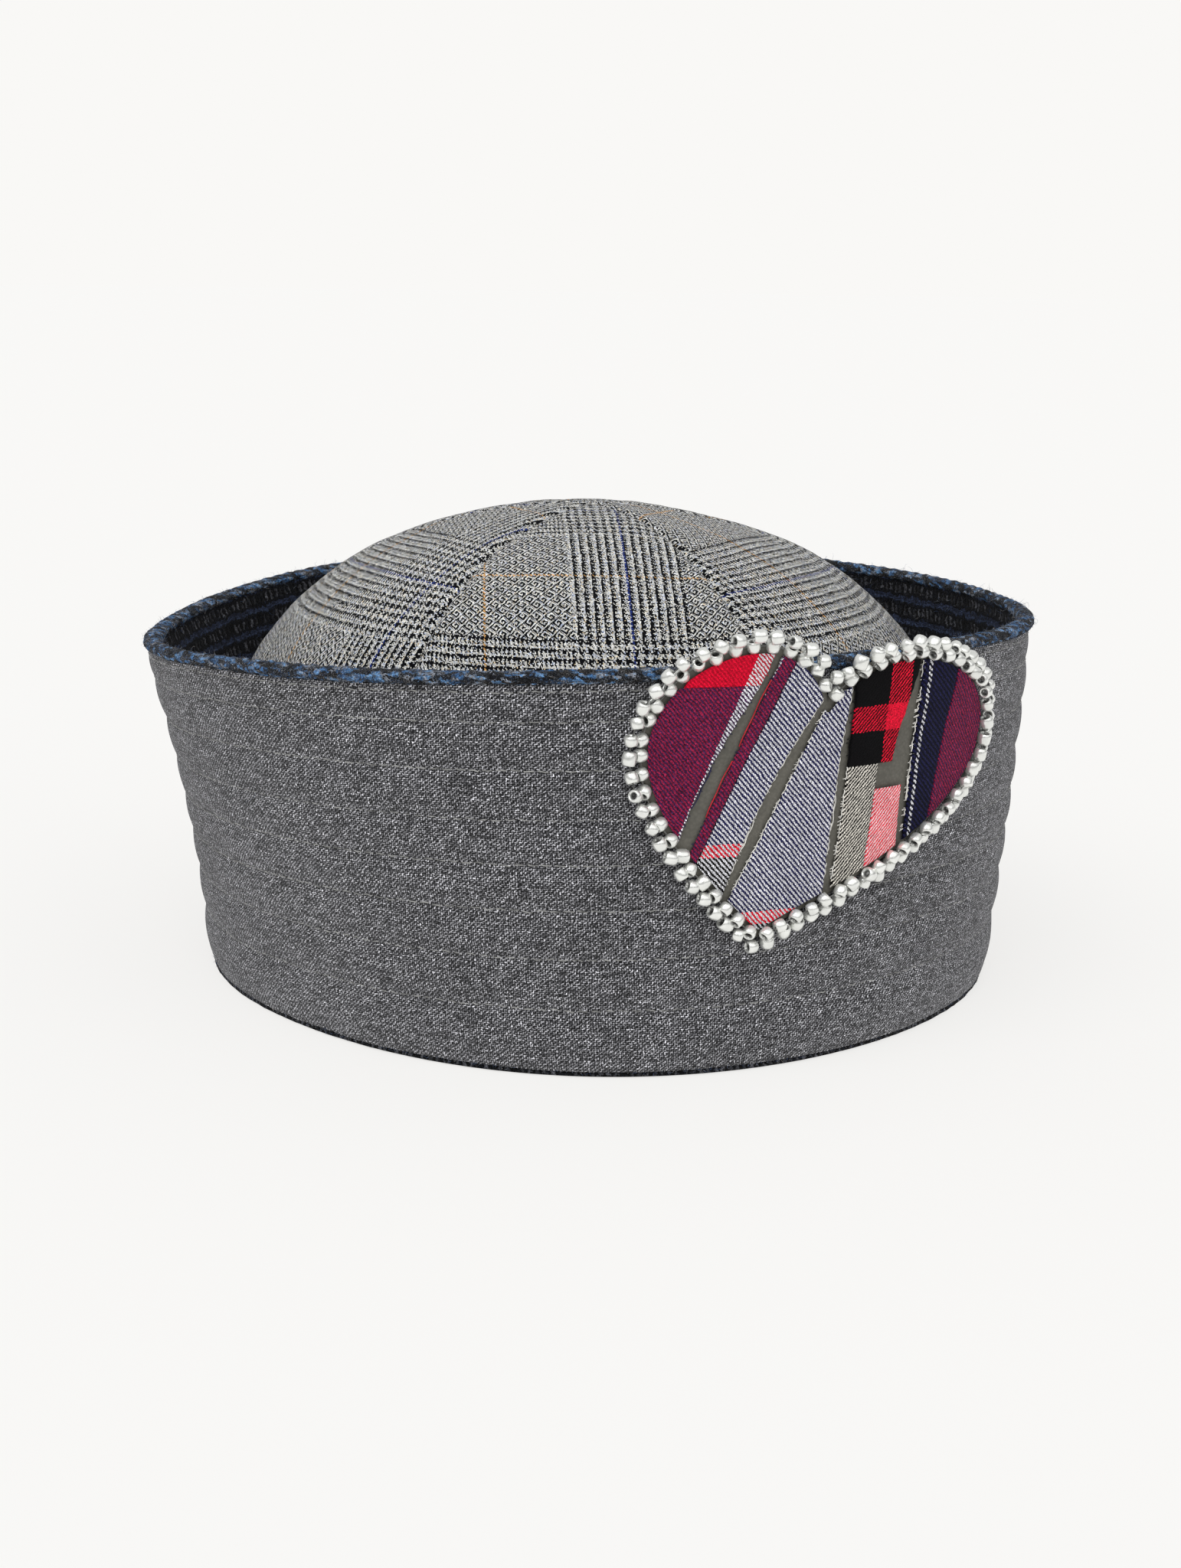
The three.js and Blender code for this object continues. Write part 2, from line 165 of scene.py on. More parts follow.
# %% Stand the grey screen round the set
SCREEN_RADIUS, SCREEN_HEIGHT, SCREEN_MIDDLE = 2.5, 0.5, 0.42  # metres
SCREEN_GREY = (0.08, 0.08, 0.08, 1)


def screen_band(form):
    bmesh.ops.create_cone(form, cap_ends=False, segments=64, depth=SCREEN_HEIGHT,
                          radius1=SCREEN_RADIUS, radius2=SCREEN_RADIUS)
    bmesh.ops.translate(form, verts=form.verts, vec=(0, 0, SCREEN_MIDDLE))


screen = stage_piece("gloss_screen", screen_band)
screen.visible_camera = screen.visible_diffuse = screen.visible_shadow = False
screen_paint = bpy.data.materials.new("screen_paint")
screen_paint.use_nodes = True
screen_paint.node_tree.nodes["Principled BSDF"].inputs["Base Color"].default_value = SCREEN_GREY
screen.data.materials.append(screen_paint)
print("screen radius", SCREEN_RADIUS, "m")

# %% [markdown]
# ## The shape of the brim
# The wall of the brim isn't a cone. It leans out more on one side than the other, and its base is
# nearly round while its rim is looser. The frame was lofted through eight stations round the hat, and
# the cloth has to follow the same wall, so the stations and the rule between them are repeated here. A
# Catmull-Rom curve is used because it passes through every station and closes without a corner.

# %% Wall stations
AXIS_Y = 1.2
BASE_SHIFT = 3.6
WALL = {  # every 45 degrees, counterclockwise from +X
    "base": (97.4, 96, 97, 96, 97.8, 93.6, 95.6, 94.6),
    "rim": (107.8, 105.6, 103.3, 105.2, 107.4, 105.9, 103.3, 105.5),
    "height": (87.4, 88, 89.7, 85.6, 79.7, 84, 87.5, 89.5),
    "bend": (0.86, 0.92, 1, 1.2, 1.63, 1.28, 1, 1),
}


@lru_cache(maxsize=None)
def wall(measure, azimuth):
    """One measure of the wall at an azimuth in degrees, on a closed curve through its stations."""
    values = WALL[measure]
    place = azimuth / 360 * len(values)
    station = math.floor(place)
    t = place - station
    before, here, after, beyond = (values[(station + k) % len(values)] for k in (-1, 0, 1, 2))
    leave, reach = (after - before) / 2, (beyond - here) / 2
    bend = 2 * here - 2 * after + leave + reach
    return here + leave * t + (3 * after - 3 * here - 2 * leave - reach) * t * t + bend * t ** 3


def polar(radius, azimuth, shift, height):
    a = math.radians(azimuth)
    return Vector((shift + radius * math.cos(a), AXIS_Y + radius * math.sin(a), height))


def brim_point(azimuth, share, out=0.0, rise=0.0):
    """A place on the brim: share is 0 at its base and 1 at the rim seam, out is measured off the face."""
    base = wall("base", azimuth)
    bulge = (wall("rim", azimuth) - base) * max(share, 0) ** wall("bend", azimuth)
    height = wall("height", azimuth) * share + rise
    return polar(base + bulge + out, azimuth, BASE_SHIFT * (1 - share), height)


GIRTH, WALL_HEIGHT = 640, 87  # on average, for the cloth's own measures
print("wall at the front:", round(wall("base", 270), 1), "to", round(wall("rim", 270), 1), "mm")

# %% [markdown]
# ## Cloth from a grid
# Each piece of cloth starts as a flat grid, which is what woven cloth is. Its corners are then moved
# to their places on the hat. Each face remembers where it lay on the bolt, in millimetres, in a UV map,
# so that the weave later follows the cloth round every curve. Where a piece closes on itself, the two
# edges are merged afterwards and the weave is left as it was.

# %% Helpers for pieces
def mix(first, second, share):
    return first + (second - first) * share


def ramp(value, low, high):
    """0 below low and 1 above high, with a smooth step between."""
    t = min(max((value - low) / (high - low), 0), 1)
    return t * t * (3 - 2 * t)


def ripple(place, size, seed=0):
    """Smooth noise between -1 and 1, with bumps about as wide as size millimetres."""
    return noise.noise(place / size + Vector((seed * 17.3, seed * 5.1, seed * 9.7)))


def waves(place, *layers):
    """Ripples of several sizes together. A layer is how deep it is, how wide, and its seed."""
    return sum(depth * ripple(place, size, seed) for depth, size, seed in layers)


def grid_cloth(columns, rows, place, bolt):
    """A grid whose corners go to place(u, v), in millimetres, and whose weave lies at bolt(u, v)."""
    form = bmesh.new()
    bmesh.ops.create_grid(form, x_segments=columns, y_segments=rows, size=0.5)
    lies = {}
    for vert in form.verts:
        u, v = vert.co.x + 0.5, vert.co.y + 0.5
        lies[vert], vert.co = bolt(u, v), place(u, v) * MM
    layer = form.loops.layers.uv.new("bolt")
    for face in form.faces:
        face.smooth = True
        for loop in face.loops:
            loop[layer].uv = lies[loop.vert]
    bmesh.ops.remove_doubles(form, verts=form.verts, dist=1e-7)
    return form


def thicken(form, thickness):
    """Gives a sheet its thickness, in millimetres, behind its faces."""
    bmesh.ops.solidify(form, geom=form.faces[:] + form.edges[:] + form.verts[:], thickness=thickness * MM)


def add_piece(name, mesh, finish, slot, *nodes):
    """Makes a mesh an object that rides with the hat and stands for the nodes named."""
    mesh.materials.append(finish)
    piece = bpy.data.objects.new(name, mesh)
    bpy.context.scene.collection.objects.link(piece)
    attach(piece, "root")
    if nodes:
        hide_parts(*nodes)
    print(name, len(mesh.polygons), "faces")


def add_shape(name, form, finish, slot, *nodes):
    add_piece(name, mesh_of(form, name), finish, slot, *nodes)


def add_threads(name, strokes, thickness, finish, slot):
    """Lengths of thread as one piece. A stroke is a list of places and how far it thins to its end."""
    line = bpy.data.curves.new(name, "CURVE")
    line.dimensions = "3D"
    line.bevel_depth = thickness / 2 * MM
    line.bevel_resolution = 0
    line.use_fill_caps = True
    for stroke, taper in strokes:
        spline = line.splines.new("POLY")
        spline.points.add(len(stroke) - 1)
        for k, (knot, point) in enumerate(zip(spline.points, stroke)):
            knot.co = (*(point * MM), 1)
            knot.radius = 1 - taper * k / (len(stroke) - 1)
    holder = bpy.data.objects.new(name, line)
    mesh = bpy.data.meshes.new_from_object(holder)
    bpy.data.objects.remove(holder)
    for face in mesh.polygons:
        face.use_smooth = True
    add_piece(name, mesh, finish, slot)


print("round the brim:", GIRTH, "mm of cloth")

# %% [markdown]
# ## Finishes
# Every finish is a material made of nodes. To keep the recipes short, a small class adds a node,
# connects it and hands back its output. Woven finishes share one more helper: it counts the threads
# across and along the bolt, and tells which of the two lies on top in a twill, which goes over two and
# under two and steps sideways by one on every row.

# %% A class for recipes
class Finish:
    def __init__(self, name, roughness=0.85, metallic=0.0, sheen=0.0, gloss=0.25):
        self.material = bpy.data.materials.new(name)
        self.material.use_nodes = True
        self.tree = self.material.node_tree
        self.shader = self.tree.nodes["Principled BSDF"]
        self.shader.inputs["Roughness"].default_value = roughness
        self.shader.inputs["Metallic"].default_value = metallic
        self.shader.inputs["Sheen Weight"].default_value = sheen
        self.shader.inputs["Sheen Roughness"].default_value = 0.5
        self.shader.inputs["Specular IOR Level"].default_value = gloss

    def feed(self, socket, value):
        if isinstance(value, bpy.types.NodeSocket):
            self.tree.links.new(value, socket)
        else:
            socket.default_value = value

    def node(self, kind, settings=None, **inputs):
        node = self.tree.nodes.new("ShaderNode" + kind)
        for key, value in (settings or {}).items():
            setattr(node, key, value)
        for key, value in inputs.items():
            self.feed(node.inputs[key], value)
        return node

    def math(self, operation, *values):
        node = self.node("Math", {"operation": operation})
        for socket, value in zip(node.inputs, values):
            self.feed(socket, value)
        return node.outputs[0]

    def mixed(self, share, first, second):
        """One of two colours, or a blend of them."""
        node = self.node("Mix", {"data_type": "RGBA"})
        for index, value in ((0, share), (6, first), (7, second)):
            self.feed(node.inputs[index], value)
        return node.outputs[2]

    def scaled(self, colour, factor):
        """A colour made lighter or darker by a number."""
        node = self.node("VectorMath", {"operation": "SCALE"}, Scale=factor)
        self.feed(node.inputs[0], colour)
        return node.outputs[0]

    def object_place(self):
        return self.node("TexCoord").outputs["Object"]

    def cloudy(self, size, detail=2.0, place=None, low=0.0, high=1.0):
        """Noise whose patches are about size millimetres wide, mapped to a range of values."""
        texture = self.node("TexNoise", Scale=1 / (size * MM), Detail=detail,
                            Vector=place or self.object_place())
        return self.node("MapRange", Value=texture.outputs[0], **{
            "From Min": 0.3, "From Max": 0.7, "To Min": low, "To Max": high}).outputs[0]

    def dots(self, across, along):
        """A random number for each cell of whole numbers."""
        cell = self.node("CombineXYZ", X=across, Y=along)
        return self.node("TexWhiteNoise", {"noise_dimensions": "2D"}, Vector=cell.outputs[0]).outputs[0]

    def shades(self, value, stops, smooth=False):
        """Turns a number from 0 to 1 into a colour. stops are pairs of a number and a hex code."""
        node = self.node("ValToRGB", Fac=value)
        node.color_ramp.interpolation = "LINEAR" if smooth else "CONSTANT"
        while len(node.color_ramp.elements) < len(stops):
            node.color_ramp.elements.new(1)
        for element, (position, code) in zip(node.color_ramp.elements, stops):
            element.position = position
            element.color = tint(code)
        return node.outputs[0]

    def lay(self, wobble=0.0):
        """Where a point lies on the bolt, in millimetres, by threads that waver a little."""
        bolt = self.node("SeparateXYZ", Vector=self.node("UVMap", {"uv_map": "bolt"}).outputs[0])
        if not wobble:
            return list(bolt.outputs[:2])
        return [self.math("ADD", self.math("ADD", place, self.cloudy(size, 1, low=-wobble, high=wobble)),
                          self.cloudy(size * 0.2, 1, low=-wobble, high=wobble))
                for place, size in zip(bolt.outputs, (3.0, 3.9))]

    def crest(self, count):
        """Height across a thread, from 0 at its edges to 1 along its middle."""
        return self.math("ABSOLUTE", self.math("SINE", self.math("MULTIPLY", count, math.pi)))

    def either(self, choice, one, other):
        """The number one where choice is 1, and the number other where it is 0."""
        node = self.node("Mix", {"data_type": "FLOAT"})
        for index, value in ((0, choice), (2, other), (3, one)):
            self.feed(node.inputs[index], value)
        return node.outputs[0]

    def weave(self, pitch, slant=1, wobble=0.0):
        """Counts threads: returns their numbers across and along, warp_on_top, and their height."""
        counts = [self.math("DIVIDE", place, step) for place, step in zip(self.lay(wobble), pitch)]
        i, j = (self.math("FLOOR", count) for count in counts)
        step = self.math("FLOORED_MODULO", self.math("MULTIPLY_ADD", i, slant, j), 4)
        warp_on_top = self.math("LESS_THAN", step, 1.5)
        return i, j, warp_on_top, self.either(warp_on_top, *(self.crest(count) for count in counts))

    def painted_edge_shade(self, colour, height, edge=0.5, middle=1.12):
        """A colour of thread with painted shade towards the edges of each thread, and a painted highlight
        along its middle where middle is above 1.
        """
        return self.scaled(colour, self.math("MULTIPLY_ADD", height, middle - edge, edge))

    def bump(self, height, depth, strength=0.6, below=None):
        """Raises the surface by a height between 0 and 1, depth millimetres deep."""
        node = self.node("Bump", Height=height, Distance=depth * MM, Strength=strength)
        if below:
            self.feed(node.inputs["Normal"], below)
        return node.outputs[0]

    def done(self, colour, normal=None):
        self.feed(self.shader.inputs["Base Color"], colour)
        if normal:
            self.feed(self.shader.inputs["Normal"], normal)
        print("finish", self.material.name, "of", len(self.tree.nodes), "nodes")
        return self.material


print("recipes:", [name for name in vars(Finish) if not name.startswith("_")])

# %% [markdown]
# ## Grey worsted
# The brim's face is a fine worsted spun from black and white wool. Close up it is a salt and pepper of
# single threads, from a distance a cloudy grey. A picture of cloth would blur or repeat, so the finish
# counts the threads: dark and light ones by turns, each with a tone that changes along it. Every
# crossing then has a grey of its own, and three sizes of cloud vary the tone above them.

# %% Worsted finish
WORSTED_PITCH = (0.27, 0.235)
YARN_DARK, YARN_LIGHT = tint("232326"), tint("8e8e92")
WARP_RUN, WEFT_RUN = 4, 9  # crossings after which the tone of a thread changes


def worsted_finish():
    worsted = Finish("grey_worsted", roughness=0.9, sheen=0.12, gloss=0.15)
    i, j, warp_on_top, height = worsted.weave(WORSTED_PITCH, wobble=0.13)

    def yarn(number, other, crossings):
        """Light and dark by turns, with a tone that changes after a number of crossings."""
        light = worsted.math("LESS_THAN", worsted.math("FLOORED_MODULO", number, 2), 0.5)
        run = worsted.dots(number, worsted.math("FLOOR", worsted.math("DIVIDE", other, crossings)))
        colour = worsted.mixed(light, YARN_DARK, YARN_LIGHT)
        return worsted.scaled(colour, worsted.math("MULTIPLY_ADD", run, 1.5, 0.25))

    colour = worsted.mixed(warp_on_top, yarn(j, i, WEFT_RUN), yarn(i, j, WARP_RUN))
    grain = worsted.math("MULTIPLY_ADD", worsted.dots(i, j), 1.5, 0.35)
    fibres = worsted.cloudy(0.45, 3, low=0.45, high=1.55)
    cloud = worsted.math("MULTIPLY", worsted.cloudy(1.6, 2, low=0.85, high=1.15),
                         worsted.cloudy(24, 2, low=0.93, high=1.07))
    tone = worsted.math("MULTIPLY", worsted.math("MULTIPLY", grain, cloud), fibres)
    # painted shade: each thread darkens towards its edges and has a painted highlight along its middle
    colour = worsted.painted_edge_shade(worsted.scaled(colour, tone), height, 0.35, 1.15)
    rough = worsted.math("ADD", height, worsted.cloudy(0.4, 3, low=-0.4, high=0.4))
    return worsted.done(colour, worsted.bump(rough, 0.09, 0.7))


worsted = worsted_finish()

# %% [markdown]
# ## The quilted face of the brim
# Eight rows of stitching hold the grey wool to the lining, and between two rows the cloth swells a
# little. It could be a smooth wall with the rows painted on, but the swelling shows in the outline at
# both sides, so it is in the mesh: each channel bulges, each row pulls in, and the thread puckers the
# cloth in short waves along the row.

# %% Face of the brim
STITCH_ROWS = (0.179, 0.312, 0.436, 0.552, 0.665, 0.788, 0.906, 0.979)
FACE_FOOT = 0.016
CLOTH_THICKNESS = 1.2
CHANNEL_EDGES = (FACE_FOOT, *STITCH_ROWS, 1)
WIDE_CHANNEL = 0.13  # share of the height
SWELL, PULL = 0.62, 0.3  # out in the middle of a channel and in at a stitch row
PUCKER, PUCKER_REACH = 0.13, 2.2
HEM_IN = 0.35
FACE_TO, TOP_TO, BACK_TO = 0.84, 0.88, 0.97  # shares of the way round the section
SECTION_LENGTH = 104


@lru_cache(maxsize=None)
def channel(share):
    """How full the channel is at a height of the wall: 0 on a stitch row, 1 in the middle of a wide one."""
    for low, high in zip(CHANNEL_EDGES, CHANNEL_EDGES[1:]):
        if share <= high:
            width = (high - low) / WIDE_CHANNEL
            return math.sin(math.pi * max(share - low, 0) / (high - low)) ** 0.7 * min(width, 1.3)
    return 0.0


def quilting(azimuth, share):
    """How far the cloth stands off the plain wall, in millimetres."""
    spot = brim_point(azimuth, share)
    full = channel(round(share, 5))
    row = min(abs(share - r) for r in STITCH_ROWS) * WALL_HEIGHT
    near = math.exp(-(row / PUCKER_REACH) ** 2)
    pucker = PUCKER * near * ripple(Vector((spot.x, spot.y, row * 0.3)), 2.4, 2)
    loose = waves(spot, (0.45, 26, 1), (0.2, 9, 3))
    hem = ramp(share, 0.985, 1.0)
    return (SWELL * full - PULL * (1 - full) + pucker + loose) * (1 - hem) - HEM_IN * hem


def face_section(v):
    """Round the cloth: up its face, over its hidden top, and down its back."""
    if v < FACE_TO:
        return mix(FACE_FOOT, 1, v / FACE_TO), "face"
    if v < TOP_TO:
        return 1, "top"
    if v < BACK_TO:
        return mix(1, FACE_FOOT, (v - TOP_TO) / (BACK_TO - TOP_TO)), "back"
    return FACE_FOOT, "foot"


def face_place(u, v):
    azimuth = round(360 * (u % 1), 6)
    share, side = face_section(v)
    if side == "face":
        return brim_point(azimuth, share, quilting(azimuth, share))
    depth = {"top": (v - FACE_TO) / (TOP_TO - FACE_TO), "back": 1, "foot": (1 - v) / (1 - BACK_TO)}[side]
    return brim_point(azimuth, share, mix(quilting(azimuth, share), -CLOTH_THICKNESS, depth))


face = grid_cloth(480, 120, face_place, lambda u, v: (GIRTH * u, SECTION_LENGTH * v))
add_shape("brim_worsted", face, worsted, "grey_worsted", "brim_cloth")

# %% [markdown]
# ## Quilting stitches
# The thread is a shade lighter than the cloth. A sewing machine leaves a dash for every stitch, which
# dives into the cloth at both ends. Each dash is a short bent length of thread on the row, and all of
# them are joined in one mesh, because there are more than seventeen hundred.

# %% Stitches
STITCH_PITCH, STITCH_THREAD = 2.9, 0.28
DASH = ((0.08, -0.25), (0.18, 0.06), (0.5, 0.12), (0.82, 0.06), (0.92, -0.25))  # share of a stitch, lift
dice = random.Random(3)


def stitch_row(share):
    length = 2 * math.pi * (wall("base", 270) + 8 * share)
    count = round(length / STITCH_PITCH)
    step = 360 / count
    strokes = []
    for k in range(count):
        start = k * step + dice.uniform(-0.04, 0.04)
        drift = dice.uniform(-0.0015, 0.0015) + 0.0012 * math.sin(k * 0.11)
        points = []
        for part, lift in DASH:
            azimuth = round(start + part * step, 6)
            height = share + drift + 0.0016 * (0.5 - part) + dice.gauss(0, 0.0012)
            points.append(brim_point(azimuth, height, quilting(azimuth, height) + lift))
        strokes.append((points, 0))
    return strokes


def thread_finish(name, code, variety=0.25):
    thread = Finish(name, roughness=0.75, sheen=0.1)
    shade = thread.cloudy(1.5, 1, low=1 - variety, high=1 + variety)
    twist = thread.cloudy(0.15, 1)
    return thread.done(thread.scaled(tint(code)[:3], shade), thread.bump(twist, 0.05))


stitch_thread = thread_finish("quilting_thread", "8f8f8d", 0.5)
stitches = [stroke for share in STITCH_ROWS for stroke in stitch_row(share)]
add_threads("quilting_stitches", stitches, STITCH_THREAD, stitch_thread, "grey_worsted")
print("stitches:", len(stitches))

# %% [markdown]
# ## Navy tweed
# The lining and the roll at the rim are one thick, hairy tweed. Black and charcoal threads run up and
# down, bands of navy and steel blue run round the hat, and stray light fibres blur both. The bands
# come from a colour ramp over the thread count, and the hairs are added later as real strands.

# %% Tweed finishes
TWEED_PITCH = (0.9, 0.95)
SLUB = (2.0, 1.1)  # how long and how thick
SLUB_LEAN = 0.9
BAND_ROWS = 6
LINING_BANDS = (  # share of the rows of one repeat, and colour
    (0.0, "05060a"), (0.08, "2a3248"), (0.24, "333d55"), (0.36, "07080d"), (0.5, "030304"),
    (0.95, "05060a"))
LINING_HAIRS = ((0.0, "1d2740"), (0.5, "34435f"), (1.0, "5b5a60"))
ROLL_SLUBS = (  # share of the slubs, and colour
    (0.0, "07080c"), (0.38, "141820"), (0.47, "243750"), (0.55, "3c6696"), (0.66, "6690bd"),
    (0.74, "878d99"), (0.84, "15171d"))
ROLL_HAIRS = ((0.0, "6d7a90"), (0.5, "b4bcc8"), (1.0, "c4b8ac"))


def hairy(tweed, colour, stops, amount, fineness=0.3):
    """A colour of tweed with light fibres lying across it."""
    hair = tweed.math("MULTIPLY", tweed.cloudy(fineness, 3, low=-1.1, high=0.8),
                      tweed.cloudy(4, 2, low=0.1, high=amount))
    fibre = tweed.shades(tweed.cloudy(2.2, 1), stops, smooth=True)
    return tweed.mixed(tweed.math("MAXIMUM", hair, 0), colour, fibre)


def lining_finish():
    tweed = Finish("navy_tweed", roughness=0.95, sheen=0.04, gloss=0.1)
    across, along = tweed.lay(0.4)
    across = tweed.math("MULTIPLY_ADD", along, 0.16, across)
    counts = [tweed.math("DIVIDE", place, step) for place, step in zip((across, along), TWEED_PITCH)]
    i, j = (tweed.math("FLOOR", count) for count in counts)
    row = tweed.math("DIVIDE", tweed.math("FLOORED_MODULO", counts[1], BAND_ROWS), BAND_ROWS)
    band = tweed.shades(row, LINING_BANDS, smooth=True)
    upright = tweed.math("COMPARE", row, 0.68, 0.19)
    odd = tweed.math("LESS_THAN", tweed.math("FLOORED_MODULO", i, 2), 0.5)
    chance = tweed.dots(i, tweed.math("FLOOR", tweed.math("DIVIDE", j, BAND_ROWS)))
    fleck = tweed.scaled(tint("5c5d63")[:3], tweed.math("MULTIPLY", odd, chance))
    height = tweed.either(upright, *(tweed.crest(count) for count in counts))
    # painted shade towards the edges of each thread, and a painted highlight along its middle
    colour = tweed.painted_edge_shade(tweed.mixed(upright, band, fleck), height, 0.35, 1.1)
    colour = tweed.scaled(colour, tweed.math(
        "MULTIPLY", tweed.cloudy(1.1, 3, low=0.2, high=1.7), tweed.cloudy(0.35, 3, low=0.4, high=1.6)))
    colour = hairy(tweed, colour, LINING_HAIRS, 0.6)
    return tweed.done(colour, tweed.bump(tweed.math("ADD", height, tweed.cloudy(0.3, 2)), 0.3, 0.9))


def roll_finish():
    """Slubs of twisted yarn, each with its own colour, painted shade at its edge and a painted highlight in
    its middle, and the fine strands that they are twisted from, raised by bump with painted shade along them.
    """
    tweed = Finish("navy_tweed_roll", roughness=0.9, sheen=0.06, gloss=0.12)
    across, along = tweed.lay(0.35)
    lean = tweed.math("MULTIPLY_ADD", along, SLUB_LEAN, across)
    spot = tweed.node("CombineXYZ", X=tweed.math("DIVIDE", lean, SLUB[0]),
                      Y=tweed.math("DIVIDE", along, SLUB[1])).outputs[0]
    slub = tweed.node("TexVoronoi", {"voronoi_dimensions": "2D"}, Scale=1.0, Randomness=0.85, Vector=spot)
    own = tweed.node("SeparateXYZ", Vector=slub.outputs["Color"]).outputs[0]
    tone = tweed.math("ADD", tweed.math("MULTIPLY_ADD", own, 0.7, tweed.cloudy(22, 1, low=0.0, high=0.3)),
                      tweed.cloudy(0.7, 3, low=-0.12, high=0.12))
    colour = tweed.shades(tone, ROLL_SLUBS)
    # lighter and darker lines along the twist: painted shade of the strands, which the bump also raises
    strands = tweed.math("SINE", tweed.math("MULTIPLY", tweed.math("MULTIPLY_ADD", across, -0.7, along), 22))
    middle = tweed.math("SUBTRACT", 1, slub.outputs["Distance"])
    # painted shade darkening each slub towards its edge, and a painted highlight in its middle
    colour = tweed.painted_edge_shade(colour, middle, -0.2, 1.5)
    colour = tweed.scaled(colour, tweed.math("MULTIPLY_ADD", strands, 0.4, 1))
    colour = tweed.scaled(colour, tweed.cloudy(0.45, 3, low=0.3, high=1.7))
    colour = hairy(tweed, colour, ROLL_HAIRS, 1.3, 0.2)
    rough = tweed.math("MULTIPLY_ADD", strands, 0.15, tweed.math("MULTIPLY", middle, 2))
    return tweed.done(colour, tweed.bump(tweed.math("ADD", rough, tweed.cloudy(0.3, 2)), 0.3, 0.9))


lining_tweed = lining_finish()
roll_tweed = roll_finish()

# %% [markdown]
# ## The lining
# One strip of tweed runs under the foot of the brim, up behind the grey cloth and over its top edge.
# It is modelled as a sleeve: a closed outline, swept round the hat. A grid does this with its columns
# round the hat and its rows round the outline, and both ends of each are then merged.

# %% Lining
OUTLINE = (  # share of the height, distance off the face, rise
    (0, -3.0, 0.5), (0, -2.5, 0), (0, -0.8, 0), (0, -0.3, 0.2), (0, -0.15, 0.6), (0, -0.25, 1.2),
    (0, -0.9, 1.7), (0.06, -1.5, 0), (1, -1.5, 0), (1, -1.7, 0.9), (1, -2.8, 0.9), (1, -3.0, 0),
)
INNER_SIDE = -2.95  # what is further in than this is the side that faces the crown
FOOT_SHARE = 0.06


def lining_length(first, second):
    return math.hypot((second[0] - first[0]) * WALL_HEIGHT + second[2] - first[2], second[1] - first[1])


lining_loop = (*OUTLINE, OUTLINE[0])
lining_steps = [lining_length(a, b) for a, b in zip(lining_loop, lining_loop[1:])]


@lru_cache(maxsize=None)
def lining_section(v):
    """The place on the outline at a share of the way round it."""
    left = v * sum(lining_steps)
    for step, here, there in zip(lining_steps, lining_loop, lining_loop[1:]):
        if left <= step:
            return tuple(mix(a, b, left / step) for a, b in zip(here, there))
        left -= step
    return OUTLINE[0]


def lining_place(u, v):
    azimuth = round(360 * (u % 1), 6)
    share, out, rise = lining_section(round(v % 1, 6))
    if out < INNER_SIDE:
        free = ramp(share, 0.25, 0.5)
        out -= free * (0.35 * channel(round(share, 5)) + 0.3 * ripple(brim_point(azimuth, share), 20, 5))
    elif share < FOOT_SHARE and out > -1:
        out += 0.18 * ripple(brim_point(azimuth, share, out, rise), 2.5, 4)
    return brim_point(azimuth, share, out, rise)


lining = grid_cloth(400, 170, lining_place, lambda u, v: (GIRTH * u, sum(lining_steps) * v))
add_shape("brim_tweed", lining, lining_tweed, "navy_tweed", "brim_lining")

# %% [markdown]
# ## The roll at the rim
# Over the rim the tweed is turned into a soft roll a few millimetres thick. It carries most of the
# blue that one sees, in lumps about four millimetres long. Bump alone would leave its outline smooth,
# so the lumps are in the mesh, and lean as the slubs of the finish do.

# %% Roll
ROLL_MIDDLE = (-1.35, 0.95)
ROLL_HALF = (2.15, 1.5)
ROLL_GIRTH = 11.6
ROLL_START = 0.9  # radians below the middle, on the face's side
LUMP = 2 * SLUB[0]


def roll_place(u, v, lift=0.0):
    azimuth = round(360 * (u % 1), 6)
    angle = 2 * math.pi * v - ROLL_START
    along, round_it = GIRTH * u, ROLL_GIRTH * v
    spot = brim_point(azimuth, 1, math.cos(angle) * 4, math.sin(angle) * 4)
    lump = 0.08 * math.sin(2 * math.pi * (along + SLUB_LEAN * round_it) / LUMP)
    size = 1 + lift + lump + waves(spot, (0.07, 3.4, 6), (0.06, 1.3, 7), (0.12, 30, 8))
    return brim_point(azimuth, 1, ROLL_MIDDLE[0] + ROLL_HALF[0] * size * math.cos(angle),
                      ROLL_MIDDLE[1] + ROLL_HALF[1] * size * math.sin(angle))


roll = grid_cloth(1400, 24, roll_place, lambda u, v: (GIRTH * u, ROLL_GIRTH * v))
add_shape("rim_roll", roll, roll_tweed, "navy_tweed")

# %% [markdown]
# ## Stray fibres
# Tweed is hairy, and the hairs catch the light along every edge. A particle system could grow them, but
# its strands wouldn't be part of the mesh. So they are a few thousand thin bent strands of mesh, each of
# about twenty faces, most of them on the roll and some at the foot and inside the brim.

# %% Fuzz
def strand(root, outward, length, knots=4):
    """A bent fibre from a root, which leaves it outwards and then wanders."""
    heading = outward.copy()
    points = [root - outward * 0.1]
    for _ in range(knots):
        heading = (heading + Vector([dice.gauss(0, 0.55) for _ in range(3)])).normalized()
        points.append(points[-1] + heading * (length / knots))
    return points, 0.7


def roll_strand():
    u, angle = dice.random(), dice.uniform(-0.6, math.pi + 0.5)
    v = (angle + ROLL_START) / (2 * math.pi)
    root = roll_place(u, v)
    outward = (roll_place(u, v, 0.5) - root).normalized()
    sideways = Vector((-math.sin(2 * math.pi * u), math.cos(2 * math.pi * u), 0)) * dice.uniform(-1.6, 1.6)
    return strand(root, (outward + sideways).normalized(), min(dice.expovariate(1.6) + 0.35, 2.6))


